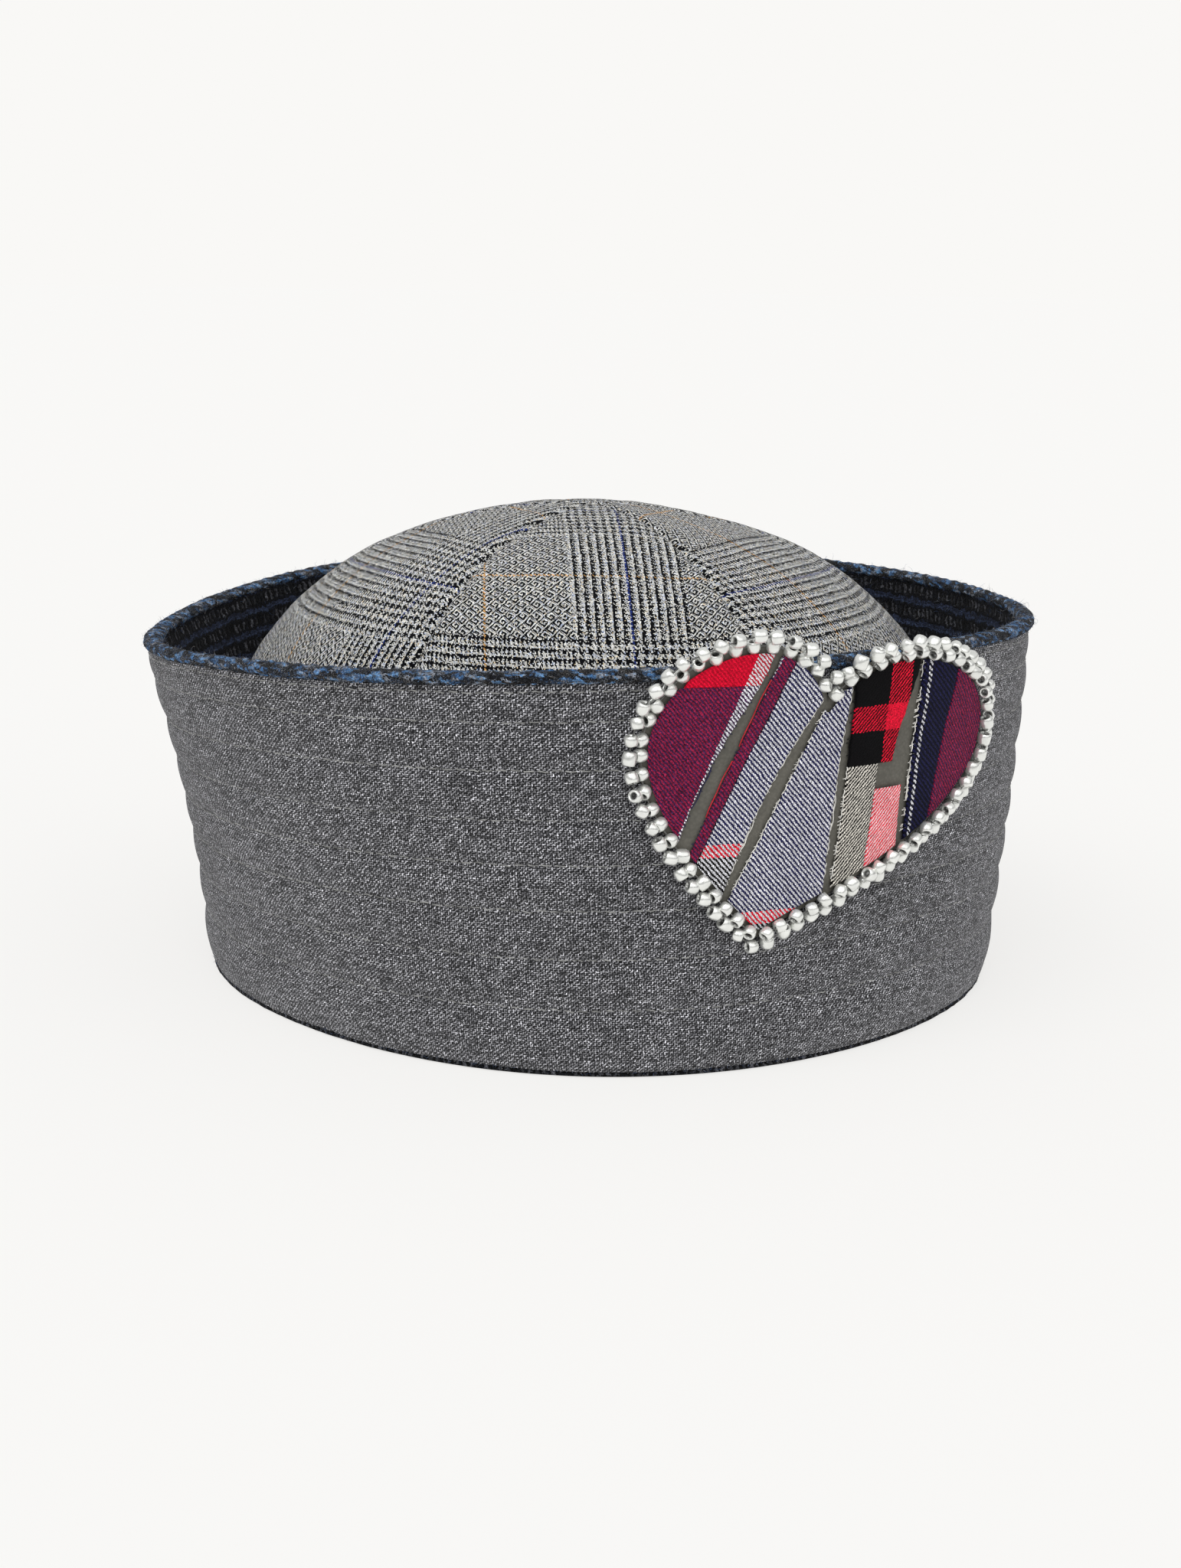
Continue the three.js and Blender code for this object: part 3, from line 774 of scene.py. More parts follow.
def foot_strand():
    azimuth = dice.uniform(0, 360)
    root = brim_point(azimuth, 0, -0.2, dice.uniform(0.9, 1.6))
    side = Vector([dice.uniform(-1, 1) for _ in range(3)])
    outward = brim_point(azimuth, 0, 1) - brim_point(azimuth, 0) + side * 0.9 + Vector((0, 0, 0.5))
    return strand(root, outward.normalized(), dice.uniform(0.5, 1.3), 3)


def inner_strand():
    azimuth, share = dice.uniform(0, 360), dice.uniform(0.6, 1)
    root = brim_point(azimuth, share, -3.1)
    side = Vector([dice.uniform(-1.2, 1.2) for _ in range(3)])
    inward = (brim_point(azimuth, share, -4) - brim_point(azimuth, share, -3) + side).normalized()
    length = dice.uniform(4, 8) if dice.random() < 0.02 else dice.uniform(0.8, 2.4)
    return strand(root, inward, length, 3)


def fuzz_finish():
    fuzz = Finish("tweed_fibres", roughness=0.7, sheen=0.2)
    colour = fuzz.shades(fuzz.cloudy(1.6, 1), (
        (0.0, "15171f"), (0.3, "2e4a78"), (0.5, "4a5a78"), (0.7, "8e939c"), (1.0, "b5aea6")), smooth=True)
    return fuzz.done(colour)


FIBRES = ((roll_strand, 3200), (foot_strand, 600), (inner_strand, 800))
FIBRE_THICKNESS = 0.07
strands = [strand_at() for strand_at, count in FIBRES for _ in range(count)]
add_threads("tweed_fuzz", strands, FIBRE_THICKNESS, fuzz_finish(), "navy_tweed")

# %% [markdown]
# ## Glen check
# The crown is a black and white check with a blue and an orange line. Each direction of the cloth has
# a bold band of four dark and four light threads, which crosses itself as houndstooth, and a wider band
# of two and two. Where two of these fine bands cross, the cloth shows a key pattern, and the finish
# draws it as a small spiral in each diamond of a lattice. Where bold warps cross fine wefts, they lie on
# top for longer and stand out as stripes. The rest comes from counting threads, 248 to the repeat: a
# picture would need to be large to hold them, and the weaver's rule is short.

# %% Glen check finish
CHECK_PITCH = (0.2525, 0.3255)  # warp and weft
CHECK_REPEAT = (248, 248)  # threads
HOUND_BAND = (104, 120)  # bold threads at the start of the repeat
ORANGE_AT = (169, 186)
KEY_SIZE = (3.15, 3.8)  # width and height of a diamond
BLUE_LINE, ORANGE_LINE, BLACK_WOOL = tint("24367c"), tint("d8a766"), tint("07080d")
WHITE_WOOLS = ((0.0, "dcdcd8"), (0.5, "ced2da"), (0.72, "dedbcf"), (0.9, "a8b4cf"), (0.96, "cdb994"))


def key_figure(check, across, along):
    """1 on the light line of a small spiral, one to each diamond of a lattice."""
    places = [check.math("DIVIDE", place, size) for place, size in zip((across, along), KEY_SIZE)]
    sides = [check.math("SUBTRACT", check.math("FRACT", check.math(sign, *places)), 0.5)
             for sign in ("ADD", "SUBTRACT")]
    ring = check.math("MAXIMUM", *(check.math("ABSOLUTE", side) for side in sides))
    turn = check.math("DIVIDE", check.math("ARCTAN2", *sides), 2 * math.pi)
    return check.math("LESS_THAN", check.math("FRACT", check.math("MULTIPLY_ADD", ring, 2.8, turn)), 0.46)


def glen_check_finish():
    check = Finish("glen_check", roughness=0.9, sheen=0.04, gloss=0.08)
    i, j, _, height = check.weave(CHECK_PITCH, wobble=0.07)

    def band(number, way):
        """Where a thread is in its repeat, and whether it is one of the bold stripes."""
        place = check.math("FLOORED_MODULO", number, CHECK_REPEAT[way])
        return place, check.math("LESS_THAN", place, HOUND_BAND[way] - 0.5)

    def light_thread(number, way):
        place, bold = band(number, way)
        wide = check.math("LESS_THAN", check.math("FLOORED_MODULO", place, 8), 3.5)
        narrow = check.math("LESS_THAN", check.math("FLOORED_MODULO", place, 4), 1.5)
        return check.either(bold, wide, narrow)

    def line(colour, number, way):
        """The blue line in the bold stripes and the orange one between them."""
        place = band(number, way)[0]
        for thread, dye in ((HOUND_BAND[way] / 2 - 0.5, BLUE_LINE), (ORANGE_AT[way] - 0.5, ORANGE_LINE)):
            colour = check.mixed(check.math("COMPARE", place, thread, 0.6), colour, dye)
        return colour

    fine = check.math("LESS_THAN", check.math("ADD", band(i, 0)[1], band(j, 1)[1]), 0.5)
    step = check.math("FLOORED_MODULO", check.math("ADD", i, j), 4)
    bolder = check.math("GREATER_THAN", band(i, 0)[1], band(j, 1)[1])
    warp_on_top = check.math("LESS_THAN", step, check.math("ADD", bolder, 1.5))
    crossing = check.either(warp_on_top, light_thread(i, 0), light_thread(j, 1))
    light = check.either(fine, key_figure(check, *check.lay(0.1)), crossing)
    speck = check.dots(j, i)
    stray = check.math("LESS_THAN", speck, check.math("MULTIPLY_ADD", fine, -0.06, 0.11))
    light = check.math("ABSOLUTE", check.math("SUBTRACT", light, stray))
    colour = check.mixed(light, BLACK_WOOL, check.shades(speck, WHITE_WOOLS))
    colour = check.mixed(warp_on_top, line(colour, j, 1), line(colour, i, 0))
    shade = check.math("MULTIPLY_ADD", check.dots(i, j), 0.55, 0.7)
    cloud = check.math("MULTIPLY", check.cloudy(0.4, 3, low=0.7, high=1.3),
                       check.cloudy(1.3, 2, low=0.78, high=1.22))
    # painted shade towards the edges of each thread and a painted highlight along its middle; in the fine
    # bands this shade is even
    crest = check.either(fine, 0.75, height)
    colour = check.scaled(check.painted_edge_shade(colour, crest, 0.4, 1.1), check.math("MULTIPLY", shade, cloud))
    rough = check.math("ADD", height, check.cloudy(0.4, 3, low=-0.4, high=0.4))
    return check.done(colour, check.bump(rough, 0.09, 0.5))


check = glen_check_finish()

# %% [markdown]
# ## The crown
# Six gores are sewn together into a dome. A gore is widest at the base and ends in a point at the top,
# flatter across than the round dome, and its edges turn in where they are sewn, so that each seam is a
# narrow valley. Each gore is one grid: its rows climb the dome in equal steps, its columns crowd towards
# the seams where the shape is finer, and the weave runs straight up its middle.

# %% Profile of the dome
CROWN_RADIUS, CROWN_HEIGHT = 93.4, 113.7
WALL_POWER, TOP_POWER = 3.8, 1.94  # higher makes the wall steeper, or the top flatter
ROUND_FROM = 60  # height from which the dome is round; below it follows the brim
CROWN_SHIFT = 0.5
GORE_HALF = 30  # degrees
DOME_STEPS = 6000


def dome(t):
    """Radius and height of the dome's outline, from its base at t = 0 to its top at t = 1."""
    angle = t * math.pi / 2
    return (max(math.cos(angle), 0) ** (2 / TOP_POWER) * CROWN_RADIUS,
            math.sin(angle) ** (2 / WALL_POWER) * CROWN_HEIGHT)


dome_line = [dome(k / DOME_STEPS) for k in range(DOME_STEPS + 1)]
climb = [0.0]
for (r0, z0), (r1, z1) in zip(dome_line, dome_line[1:]):
    climb.append(climb[-1] + math.hypot(r1 - r0, z1 - z0))
DOME_LENGTH = climb[-1]


@lru_cache(maxsize=None)
def dome_at(distance):
    """Radius, height and how far the cloth faces out and up, at a distance along it from the base."""
    low, high = 0, len(climb) - 1
    while high - low > 1:
        middle = (low + high) // 2
        if climb[middle] <= distance:
            low = middle
        else:
            high = middle
    (r0, z0), (r1, z1) = dome_line[low], dome_line[high]
    t = min(max((distance - climb[low]) / max(climb[high] - climb[low], 1e-9), 0), 1)
    length = max(math.hypot(r1 - r0, z1 - z0), 1e-9)
    return mix(r0, r1, t), mix(z0, z1, t), (z1 - z0) / length, (r0 - r1) / length


print("from base to top along the cloth:", round(DOME_LENGTH), "mm")

# %% Gores
TOP_CLEAR = 0.25  # radius of the spot where the six points meet
SEAM_DEPTH = 1.0
SEAM_WIDTH = 0.75
RIDGE, RIDGE_FROM_SEAM, RIDGE_WIDTH = 0.22, 4.2, 3.2  # the seam allowance inside shows as a low ridge
CROWN_STACK = 3.02  # the brim's cloth and lining, which the foot of the crown touches
GORES = 6


def gore_point(number, across, distance, lift=0.0):
    """A place on a gore: across runs from -1 to 1 between its seams."""
    radius, height, outward, upward = dome_at(round(distance, 5))
    azimuth = -90 + 2 * GORE_HALF * number + GORE_HALF * across
    roundness = ramp(height, 0, ROUND_FROM)
    foot = (wall("base", round(azimuth, 6)) - CROWN_STACK - CROWN_RADIUS) * (1 - roundness)
    flat = math.sin(math.pi * (radius / CROWN_RADIUS) ** 2) * math.cos(across * math.pi / 2) ** 2
    to_seam = (1 - abs(across)) * radius * math.radians(GORE_HALF)
    valley = SEAM_DEPTH * math.exp(-(to_seam / SEAM_WIDTH) ** 1.4)
    ridge = RIDGE * math.exp(-((to_seam - RIDGE_FROM_SEAM) / RIDGE_WIDTH) ** 2)
    spot = polar(radius, azimuth, 0, height)
    pucker = 0.3 * math.exp(-to_seam / 3.5) * ripple(spot, 3.2, 11 + number) * ramp(radius, 3, 25)
    loose = waves(spot, (0.5, 30, 12), (0.18, 9, 13)) * ramp(height, 5, 40)
    depth = lift + (ridge + pucker - valley) * ramp(height, 1, 14) + loose * ramp(radius, 1, 30)
    radius = max(radius + foot - flat + depth * outward, TOP_CLEAR * 0.6)
    return polar(radius, azimuth, mix(BASE_SHIFT, CROWN_SHIFT, roundness), height + depth * upward)


print("top of the crown at", round(gore_point(0, 0, DOME_LENGTH).z, 1), "mm")

# %% Cut and sew the gores
BOLT_SHIFTS = (  # across, along, and how much the check leans
    (0, 15.6, 0.065), (48, -19, -0.17), (-14, 41, 0.1), (33, -20, 0), (8, 28, -0.1), (46.5, -19.7, 0.25))
HOUND_START = (-3.6, 73.5)  # where the bold bands start on an unshifted gore
SAG_FROM, SAG_TO = 90, 150  # along the gore
LEAN_FROM = 100
GORE_THICKNESS = 1.2


def gore(number):
    reach = DOME_LENGTH - TOP_CLEAR

    def place(u, v):
        return gore_point(number, math.sin(math.pi * (u - 0.5)), reach * v)

    def bolt(u, v):
        radius, _, _, upward = dome_at(round(reach * v, 5))
        across = math.sin(math.pi * (u - 0.5)) * radius * math.radians(GORE_HALF)
        sag = across ** 2 * upward / (2 * max(radius, 3))  # keeps the wefts straight towards the top
        along = reach * v + sag * ramp(reach * v, SAG_FROM, SAG_TO)
        shift_across, shift_along, lean = BOLT_SHIFTS[number]
        across += lean * (reach * v - LEAN_FROM)
        return across - HOUND_START[0] + shift_across, along - HOUND_START[1] + shift_along

    form = grid_cloth(60, 130, place, bolt)
    thicken(form, GORE_THICKNESS)
    add_shape(f"crown_gore_{number + 1}", form, check, "glen_check", f"crown_panel_{number + 1}")


for number in range(GORES):
    gore(number)

# %% [markdown]
# ## The outline of the heart
# The heart is drawn flat, on the brim as if it were unrolled: one number runs to the right from the
# front of the hat and the other is the height. Four smooth curves join the notch, the left side, the tip
# and the right side. Everything on the patch asks the same two questions: how deep inside the outline
# is a place, and where is it in space.

# %% Heart outline
HEART_RADIUS = 102  # of the brim behind it, to turn a distance along it into an angle
HEART_CENTRE = (49, 62)
ANCHORS = (  # the anchor, the handle it is left by and the handle that reaches the next
    ((49.6, 80.8), (44, 105), (11.1, 93)),
    ((11.1, 72.1), (11.1, 57.7), (26.2, 42)),
    ((35.6, 32.4), (47, 40.4), (97.5, 52)),
    ((97.5, 70.9), (97.5, 88), (62, 99.5)),
)


def curve_between(start, leave, reach, end, count=24):
    points = []
    for k in range(count):
        t = k / count
        w = ((1 - t) ** 3, 3 * t * (1 - t) ** 2, 3 * t * t * (1 - t), t ** 3)
        points.append(tuple(sum(a * b for a, b in zip(w, axis)) for axis in zip(start, leave, reach, end)))
    return points


heart = [point for k, (start, leave, reach) in enumerate(ANCHORS)
         for point in curve_between(start, leave, reach, ANCHORS[(k + 1) % len(ANCHORS)][0])]
print("outline points:", len(heart))

# %% Depth inside the heart
GRID_STEP = 0.4
GRID_START = (-30, -10)
GRID_COUNT = (420, 360)
FAR_OUTSIDE = -40.0


def depth_grid():
    """How deep each point of a fine grid lies inside the heart, and below zero how far outside."""
    axes = [first + GRID_STEP * np.arange(count) for first, count in zip(GRID_START, GRID_COUNT)]
    s, z = np.meshgrid(*axes, indexing="ij")
    nearest, inside = np.full(s.shape, 1e9), np.zeros(s.shape, bool)
    for (s0, z0), (s1, z1) in zip(heart, heart[1:] + heart[:1]):
        ds, dz = s1 - s0, z1 - z0
        t = np.clip(((s - s0) * ds + (z - z0) * dz) / (ds * ds + dz * dz), 0, 1)
        nearest = np.minimum(nearest, np.hypot(s0 + t * ds - s, z0 + t * dz - z))
        if dz:
            inside ^= ((z0 > z) != (z1 > z)) & (s < s0 + ds * (z - z0) / dz)
    return np.where(inside, nearest, -nearest).tolist()


DEPTHS = depth_grid()


def heart_depth(s, z):
    """How deep a place lies inside the heart, read off the grid."""
    across, up = (s - GRID_START[0]) / GRID_STEP, (z - GRID_START[1]) / GRID_STEP
    i, j = int(across), int(up)
    if not (0 <= i < GRID_COUNT[0] - 1 and 0 <= j < GRID_COUNT[1] - 1):
        return FAR_OUTSIDE
    a, b = across - i, up - j
    return mix(mix(DEPTHS[i][j], DEPTHS[i + 1][j], a), mix(DEPTHS[i][j + 1], DEPTHS[i + 1][j + 1], a), b)


print("deepest place of the heart:", round(max(max(row) for row in DEPTHS), 1), "mm inside its outline")

# %% Places on the patch
LOW_GAP, HIGH_GAP = 0.4, 1.1  # from the plain wall to the leather, low down and in front of the roll
LOWEST, HIGHEST = 20, 110


def heart_point(s, z, out):
    """A place on the patch, out millimetres in front of the back of its leather."""
    azimuth = -90 + math.degrees(s / HEART_RADIUS)
    lift = mix(LOW_GAP, HIGH_GAP, ramp(z, 70, 84))
    return brim_point(azimuth, z / wall("height", azimuth), lift + out)


def halve(good, bad, holds):
    """The last place where a test holds, between one where it does and one where it doesn't."""
    for _ in range(18):
        middle = (good + bad) / 2
        good, bad = (middle, bad) if holds(middle) else (good, middle)
    return good


def column_span(s_at, inset, bottom=LOWEST, top=HIGHEST):
    """The lowest and highest place of a column that lies inside the outline less an inset."""
    def within(z):
        return bottom <= z <= top and heart_depth(s_at(z), z) >= inset

    inside = [z for z in range(LOWEST, HIGHEST + 1) if within(z)]
    if len(inside) < 2:
        return None
    return halve(inside[0], inside[0] - 1, within), halve(inside[-1], inside[-1] + 1, within)


print("the heart's tip in space:", [round(part) for part in heart_point(*ANCHORS[2][0], 0)], "mm")

# %% [markdown]
# ## Leather
# The heart is cut from grey leather with a soft, fine pebble. It shows as curved gaps between the strips
# of cloth. Voronoi cells make good pebbles, because leather is a pattern of small cells with creases
# between them, and a slower noise under them gives the slight cloudiness of dyed skin.

# %% Leather finish
PEBBLE = 0.75


def leather_finish():
    leather = Finish("grey_leather", roughness=0.62)
    cells = leather.node("TexVoronoi", {"feature": "SMOOTH_F1"}, Scale=1 / (PEBBLE * MM), Smoothness=0.35,
                         Vector=leather.object_place()).outputs["Distance"]
    crease = leather.math("MULTIPLY", cells, -1)
    # the colour darkens towards the creases between the pebbles: painted shade
    shade = leather.math("MULTIPLY", leather.cloudy(6, 3, low=0.9, high=1.1),
                         leather.math("MULTIPLY_ADD", cells, -0.35, 1.15))
    colour = leather.scaled(tint("605e57")[:3], shade)
    fine = leather.bump(leather.cloudy(0.3, 2), 0.04, 0.35)
    return leather.done(colour, leather.bump(crease, 0.12, 0.45, below=fine))


leather = leather_finish()

# %% The leather heart
LEATHER_MARGIN, LEATHER_FACE, LEATHER_THICKNESS = 1.1, 1.2, 0.9
HEART_LEFT, HEART_RIGHT = min(s for s, _ in heart), max(s for s, _ in heart)
NOTCH_S = ANCHORS[0][0][0]
TRIES = 400  # columns that are tried to find the first and last that cross the heart
CROWDING = 0.75


def crowded(share):
    """Moves a share from 0 to 1 towards its nearer end, where a cut edge needs more columns or rows."""
    return mix(share, (1 - math.cos(math.pi * share)) / 2, CROWDING)


def heart_sheet(columns, rows, s_at, inset, height, bottom=LOWEST, top=HIGHEST, corner=None):
    """A sheet cut to the heart. At share u its column runs along s_at(u, z), and height is its outer face.
    A column runs through corner, a share, where the outline has one."""
    usable = [u / TRIES for u in range(TRIES + 1)
              if column_span(lambda z: s_at(u / TRIES, z), inset, bottom, top)]
    first, last = usable[0], usable[-1]
    spans = {}

    def share(u):
        if corner is None:
            return mix(first, last, crowded(u))
        if u < 0.5:
            return mix(first, corner, crowded(2 * u))
        return mix(corner, last, crowded(2 * u - 1))

    @lru_cache(maxsize=None)
    def flat(u, v):
        key = round(u, 6)
        if key not in spans:
            spans[key] = column_span(lambda z: s_at(share(u), z), inset, bottom, top)
        z = mix(*spans[key], crowded(v))
        return s_at(share(u), z), z

    def place(u, v):
        return heart_point(*flat(u, v), height(u, v, *flat(u, v)))

    return grid_cloth(columns, rows, place, flat)


def leather_height(u, v, s, z):
    edge = heart_depth(s, z) + LEATHER_MARGIN
    return LEATHER_FACE - 0.5 * math.exp(-max(edge, 0) / 0.4) + 0.06 * ripple(Vector((s, z, 0)), 8, 14)


leather_width = HEART_RIGHT - HEART_LEFT + 2 * LEATHER_MARGIN
leather_left = HEART_LEFT - LEATHER_MARGIN
backing = heart_sheet(150, 90, lambda u, z: leather_left + leather_width * u, -LEATHER_MARGIN,
                      leather_height, corner=(NOTCH_S - leather_left) / leather_width)
thicken(backing, LEATHER_THICKNESS)
add_shape("heart_leather", backing, leather, "grey_leather", "heart_backing")

# %% [markdown]
# ## Plaid scraps
# The strips on the heart are cut from plaid wool and cotton twills. In a plaid the colour of a crossing
# depends on two sets of stripes, one up the cloth and one across it, and on which thread is on top.
# Each scrap therefore needs two lists of stripes and nothing else. Across is measured along the
# leaning strips, so that a stripe leans as the strips do.

# %% Plaid finishes
BOLT_WIDTH = 120


def plaid_finish(name, warp, weft, pitch=(0.22, 0.18), slant=1, fleck=0.3, edge=0.45, relief=0.5):
    """A twill in two sets of stripes: pairs of where a stripe starts, in millimetres, and its colour."""
    plaid = Finish(name, roughness=0.9, sheen=0.03, gloss=0.08)
    i, j, warp_on_top, height = plaid.weave(pitch, slant=slant, wobble=0.09)
    bands = []
    for number, step, stripes in zip((i, j), pitch, (warp, weft)):
        share = plaid.math("MULTIPLY", number, step / BOLT_WIDTH)
        bands.append(plaid.shades(share, [(start / BOLT_WIDTH, code) for start, code in stripes]))
    colour = plaid.mixed(warp_on_top, bands[1], bands[0])
    shade = plaid.math("MULTIPLY_ADD", plaid.dots(i, j), fleck * 2, 1 - fleck)
    worn = plaid.math("MULTIPLY", plaid.cloudy(5, 2, low=0.93, high=1.07),
                      plaid.cloudy(0.45, 3, low=1 - fleck, high=1 + fleck))
    # painted shade towards the edges of each thread, as dark as edge says, and a painted highlight along its
    # middle
    colour = plaid.painted_edge_shade(plaid.scaled(colour, plaid.math("MULTIPLY", shade, worn)), height, edge, 1.2)
    ridge = plaid.math("ADD", height, plaid.math("MULTIPLY", warp_on_top, 0.6))
    return plaid.done(colour, plaid.bump(ridge, 0.09, relief))


# %% The seven plaids
WHITE, NAVY, BLACK, CREAM = "dedee3", "1b1c42", "060507", "ece7dc"
WINE_RED, SCARLET, TARTAN_RED, CORAL = "8d2040", "e00f33", "dc1232", "e32f40"
TWILL_PITCH, STEEP_PITCH, COARSE_PITCH = (0.2755, 0.317), (0.22, 0.25), (0.33, 0.3)
PLAIDS = {name: plaid_finish(name, warp, weft, **rest) for name, warp, weft, rest in (
    ("burgundy_wool", ((0, WINE_RED), (20.2, WHITE), (24.6, WINE_RED)), ((0, "3b1f43"),),
     {"fleck": 0.5}),
    ("scarlet_plaid", ((0, SCARLET), (20.2, WHITE), (24.6, SCARLET)), ((0, "b50b28"),),
     {"fleck": 0.25}),
    ("blue_white_twill", ((0, WHITE),), ((0, BLACK), (42.5, "e0142f"), (45.4, "23244f")),
     {"pitch": TWILL_PITCH, "fleck": 0.28, "edge": 0.12, "relief": 0.7}),
    ("cream_black_twill", ((0, CREAM),), ((0, "4a1018"), (40.5, BLACK)),
     {"pitch": STEEP_PITCH, "slant": -1, "edge": 0.2, "relief": 0.7}),
    ("black_red_tartan", ((0, BLACK), (63.9, TARTAN_RED), (69.7, BLACK)),
     ((0, BLACK), (74.6, TARTAN_RED), (80.4, BLACK)),
     {"pitch": STEEP_PITCH, "slant": -1, "fleck": 0.35}),
    ("coral_white_twill", ((0, "f0ccd0"),), ((0, CORAL),),
     {"pitch": STEEP_PITCH, "slant": -1, "fleck": 0.2}),
    ("navy_twill", ((0, NAVY), (73.8, WHITE), (74.9, NAVY)), ((0, "0b0b1c"),),
     {"pitch": COARSE_PITCH, "fleck": 0.4, "relief": 1.2}),
)}
print("plaids:", len(PLAIDS))

# %% [markdown]
# ## The strips of the heart
# Most strips lean to the right, and those at the right stand up. Many of their sides are hollow, which
# leaves lens-shaped gaps of leather, and their ends are cut to the heart's outline. They are thin cloth
# on leather: their cut edges lie a little lower than their middles and waver as scissors do. A strip
# could be a rectangle that a boolean trims, but a grid whose columns end at the outline keeps the weave
# straight and the faces even. The table gives a side as where it crosses the middle height, how far it
# leans for each millimetre up, and its bow, which hollows the strip out below zero. The grain is how far
# the stripes of its cloth lean, and slide shifts them along.

# %% Strips
STRIP_MIDDLE, BOW_REACH = 62, 26  # the height where a bow is deepest, and how far up and down it goes
STRIPS = (  # name, finish, left side, right side, bottom, top, grain, slide
    ("burgundy_left", "burgundy_wool", (-8, 0.42, 0), (24.2, 0.42, -3.1), LOWEST, 86.85, 0.42, 0),
    ("scarlet", "scarlet_plaid", (-8, 0.42, 0), (24.2, 0.42, -3.1), 86.9, HIGHEST, 0.42, 0),
    ("wine", "burgundy_wool", (25, 0.455, -0.3), (27.9, 0.475, 0), LOWEST, HIGHEST, 0.465, 3),
    ("twill_left", "blue_white_twill", (27.95, 0.475, 0), (38.6, 0.5, -2.6), LOWEST, HIGHEST, 0, -7.4),
    ("twill_right", "blue_white_twill", (39.3, 0.5, -0.6), (53.1, 0.08, -0.2), LOWEST, 88, 0, 8),
    ("cream", "cream_black_twill", (54.1, 0.06, -1.3), (63.2, 0.08, 0), LOWEST, 67.65, 0.07, 0),
    ("tartan", "black_red_tartan", (54.1, 0.06, -1.3), (71.9, 0.02, -4.8), 67.7, HIGHEST, 0.01, 0),
    ("coral", "coral_white_twill", (63.25, 0.08, 0), (71.9, 0.02, -1.1), LOWEST, 62, 0.05, 0),
    ("navy", "navy_twill", (72.8, 0.024, -0.5), (81.6, 0.13, 0), LOWEST, HIGHEST, 0.03, 0),
    ("burgundy_right", "burgundy_wool", (81.65, 0.13, 0), (103, 0.13, 0), LOWEST, HIGHEST, 0.42, 0),
)
STRIP_INSET, STRIP_FACE, STRIP_THICKNESS = 0.6, 2.15, 0.45
STRIP_COLUMN = 0.45  # width of a column of its grid
WAVER = 0.22


def strip_side(side, inward, z):
    """Where a side of a strip runs at a height. inward is 1 for a right side and -1 for a left one."""
    middle, lean, bow = side
    swell = math.cos(min(max((z - STRIP_MIDDLE) / BOW_REACH, -1), 1) * math.pi / 2)
    return middle + inward * bow * swell + lean * (z - STRIP_MIDDLE)


def strip(name, finish, left, right, bottom, top, grain, slide):
    width = right[0] - left[0]

    def s_at(u, z):
        waver = Vector((z, u * 40, left[0]))
        return mix(strip_side(left, -1, z) + WAVER * ripple(waver, 1.6, 15),
                   strip_side(right, 1, z) + WAVER * ripple(waver, 1.6, 16), u)

    def height(u, v, s, z):
        edge = min(u, 1 - u) * width
        drop = 0.45 * math.exp(-max(edge, 0) / 0.35) + 0.1 * math.exp(-v * 60) + 0.1 * math.exp(-(1 - v) * 60)
        return STRIP_FACE - drop + 0.08 * ripple(Vector((s, z, 5)), 6, 17)

    form = heart_sheet(max(round(width / STRIP_COLUMN), 12), 130, s_at, STRIP_INSET, height, bottom, top)
    layer = form.loops.layers.uv["bolt"]
    for face in form.faces:
        for loop in face.loops:
            s, z = loop[layer].uv
            loop[layer].uv = (s - grain * (z - STRIP_MIDDLE), z + slide)
    thicken(form, STRIP_THICKNESS)
    add_shape(f"strip_{name}", form, PLAIDS[finish], finish, f"patch_{name}")


for row in STRIPS:
    strip(*row)

# %% [markdown]
# ## Frayed edges
# The strips are cut raw, so ends of thread stand out along their sides, and here and there a thread has
# worked loose and lies along the edge. A picture of fray would look flat in the light from the side, so
# these are again short strokes of thread. They make the applique look like cloth and not like print.

# %% Loose ends and loose threads
FRAY_THREAD = 0.26
TUFT_KNOTS, TUFT_HEIGHT, LOOSE_HEIGHT = (0, 0.45, 1), 2.0, 1.75


def edge_line(row, right):
    """A side of a strip as a rule for its place at a height, and the heights between which it runs."""
    side, inward = (row[3], 1) if right else (row[2], -1)
    bottom, top = row[4:6]
    span = column_span(lambda z: strip_side(side, inward, z) - inward * 0.1, STRIP_INSET + 0.2, bottom, top)
    return (lambda z: strip_side(side, inward, z)), span


def tuft(side_at, z, outward):
    """A short straight end of thread that leaves the edge and lies down on the leather."""
    length, s = dice.uniform(0.35, 0.9), side_at(z) - outward * 0.35
    drop = dice.uniform(0.2, 1.1)
    return [heart_point(s + outward * length * t, z - drop * t * length, TUFT_HEIGHT - 0.75 * t)
            for t in TUFT_KNOTS], 0.25


def loose_thread(side_at, z, length, outward, bulge=0.55):
    """A thread along an edge, which has worked itself out by bulge in its middle."""
    points = []
    for k in range(14):
        t = k / 13
        off = outward * (0.1 + bulge * math.sin(t * math.pi) * (0.7 + 0.3 * math.sin(t * 9)))
        height = LOOSE_HEIGHT + 0.12 * math.sin(t * 11)
        points.append(heart_point(side_at(z - length * t) + off, z - length * t, height))
    return points, 0.0


print("height of a loose thread over the leather:", round(LOOSE_HEIGHT - LEATHER_FACE, 2), "mm")

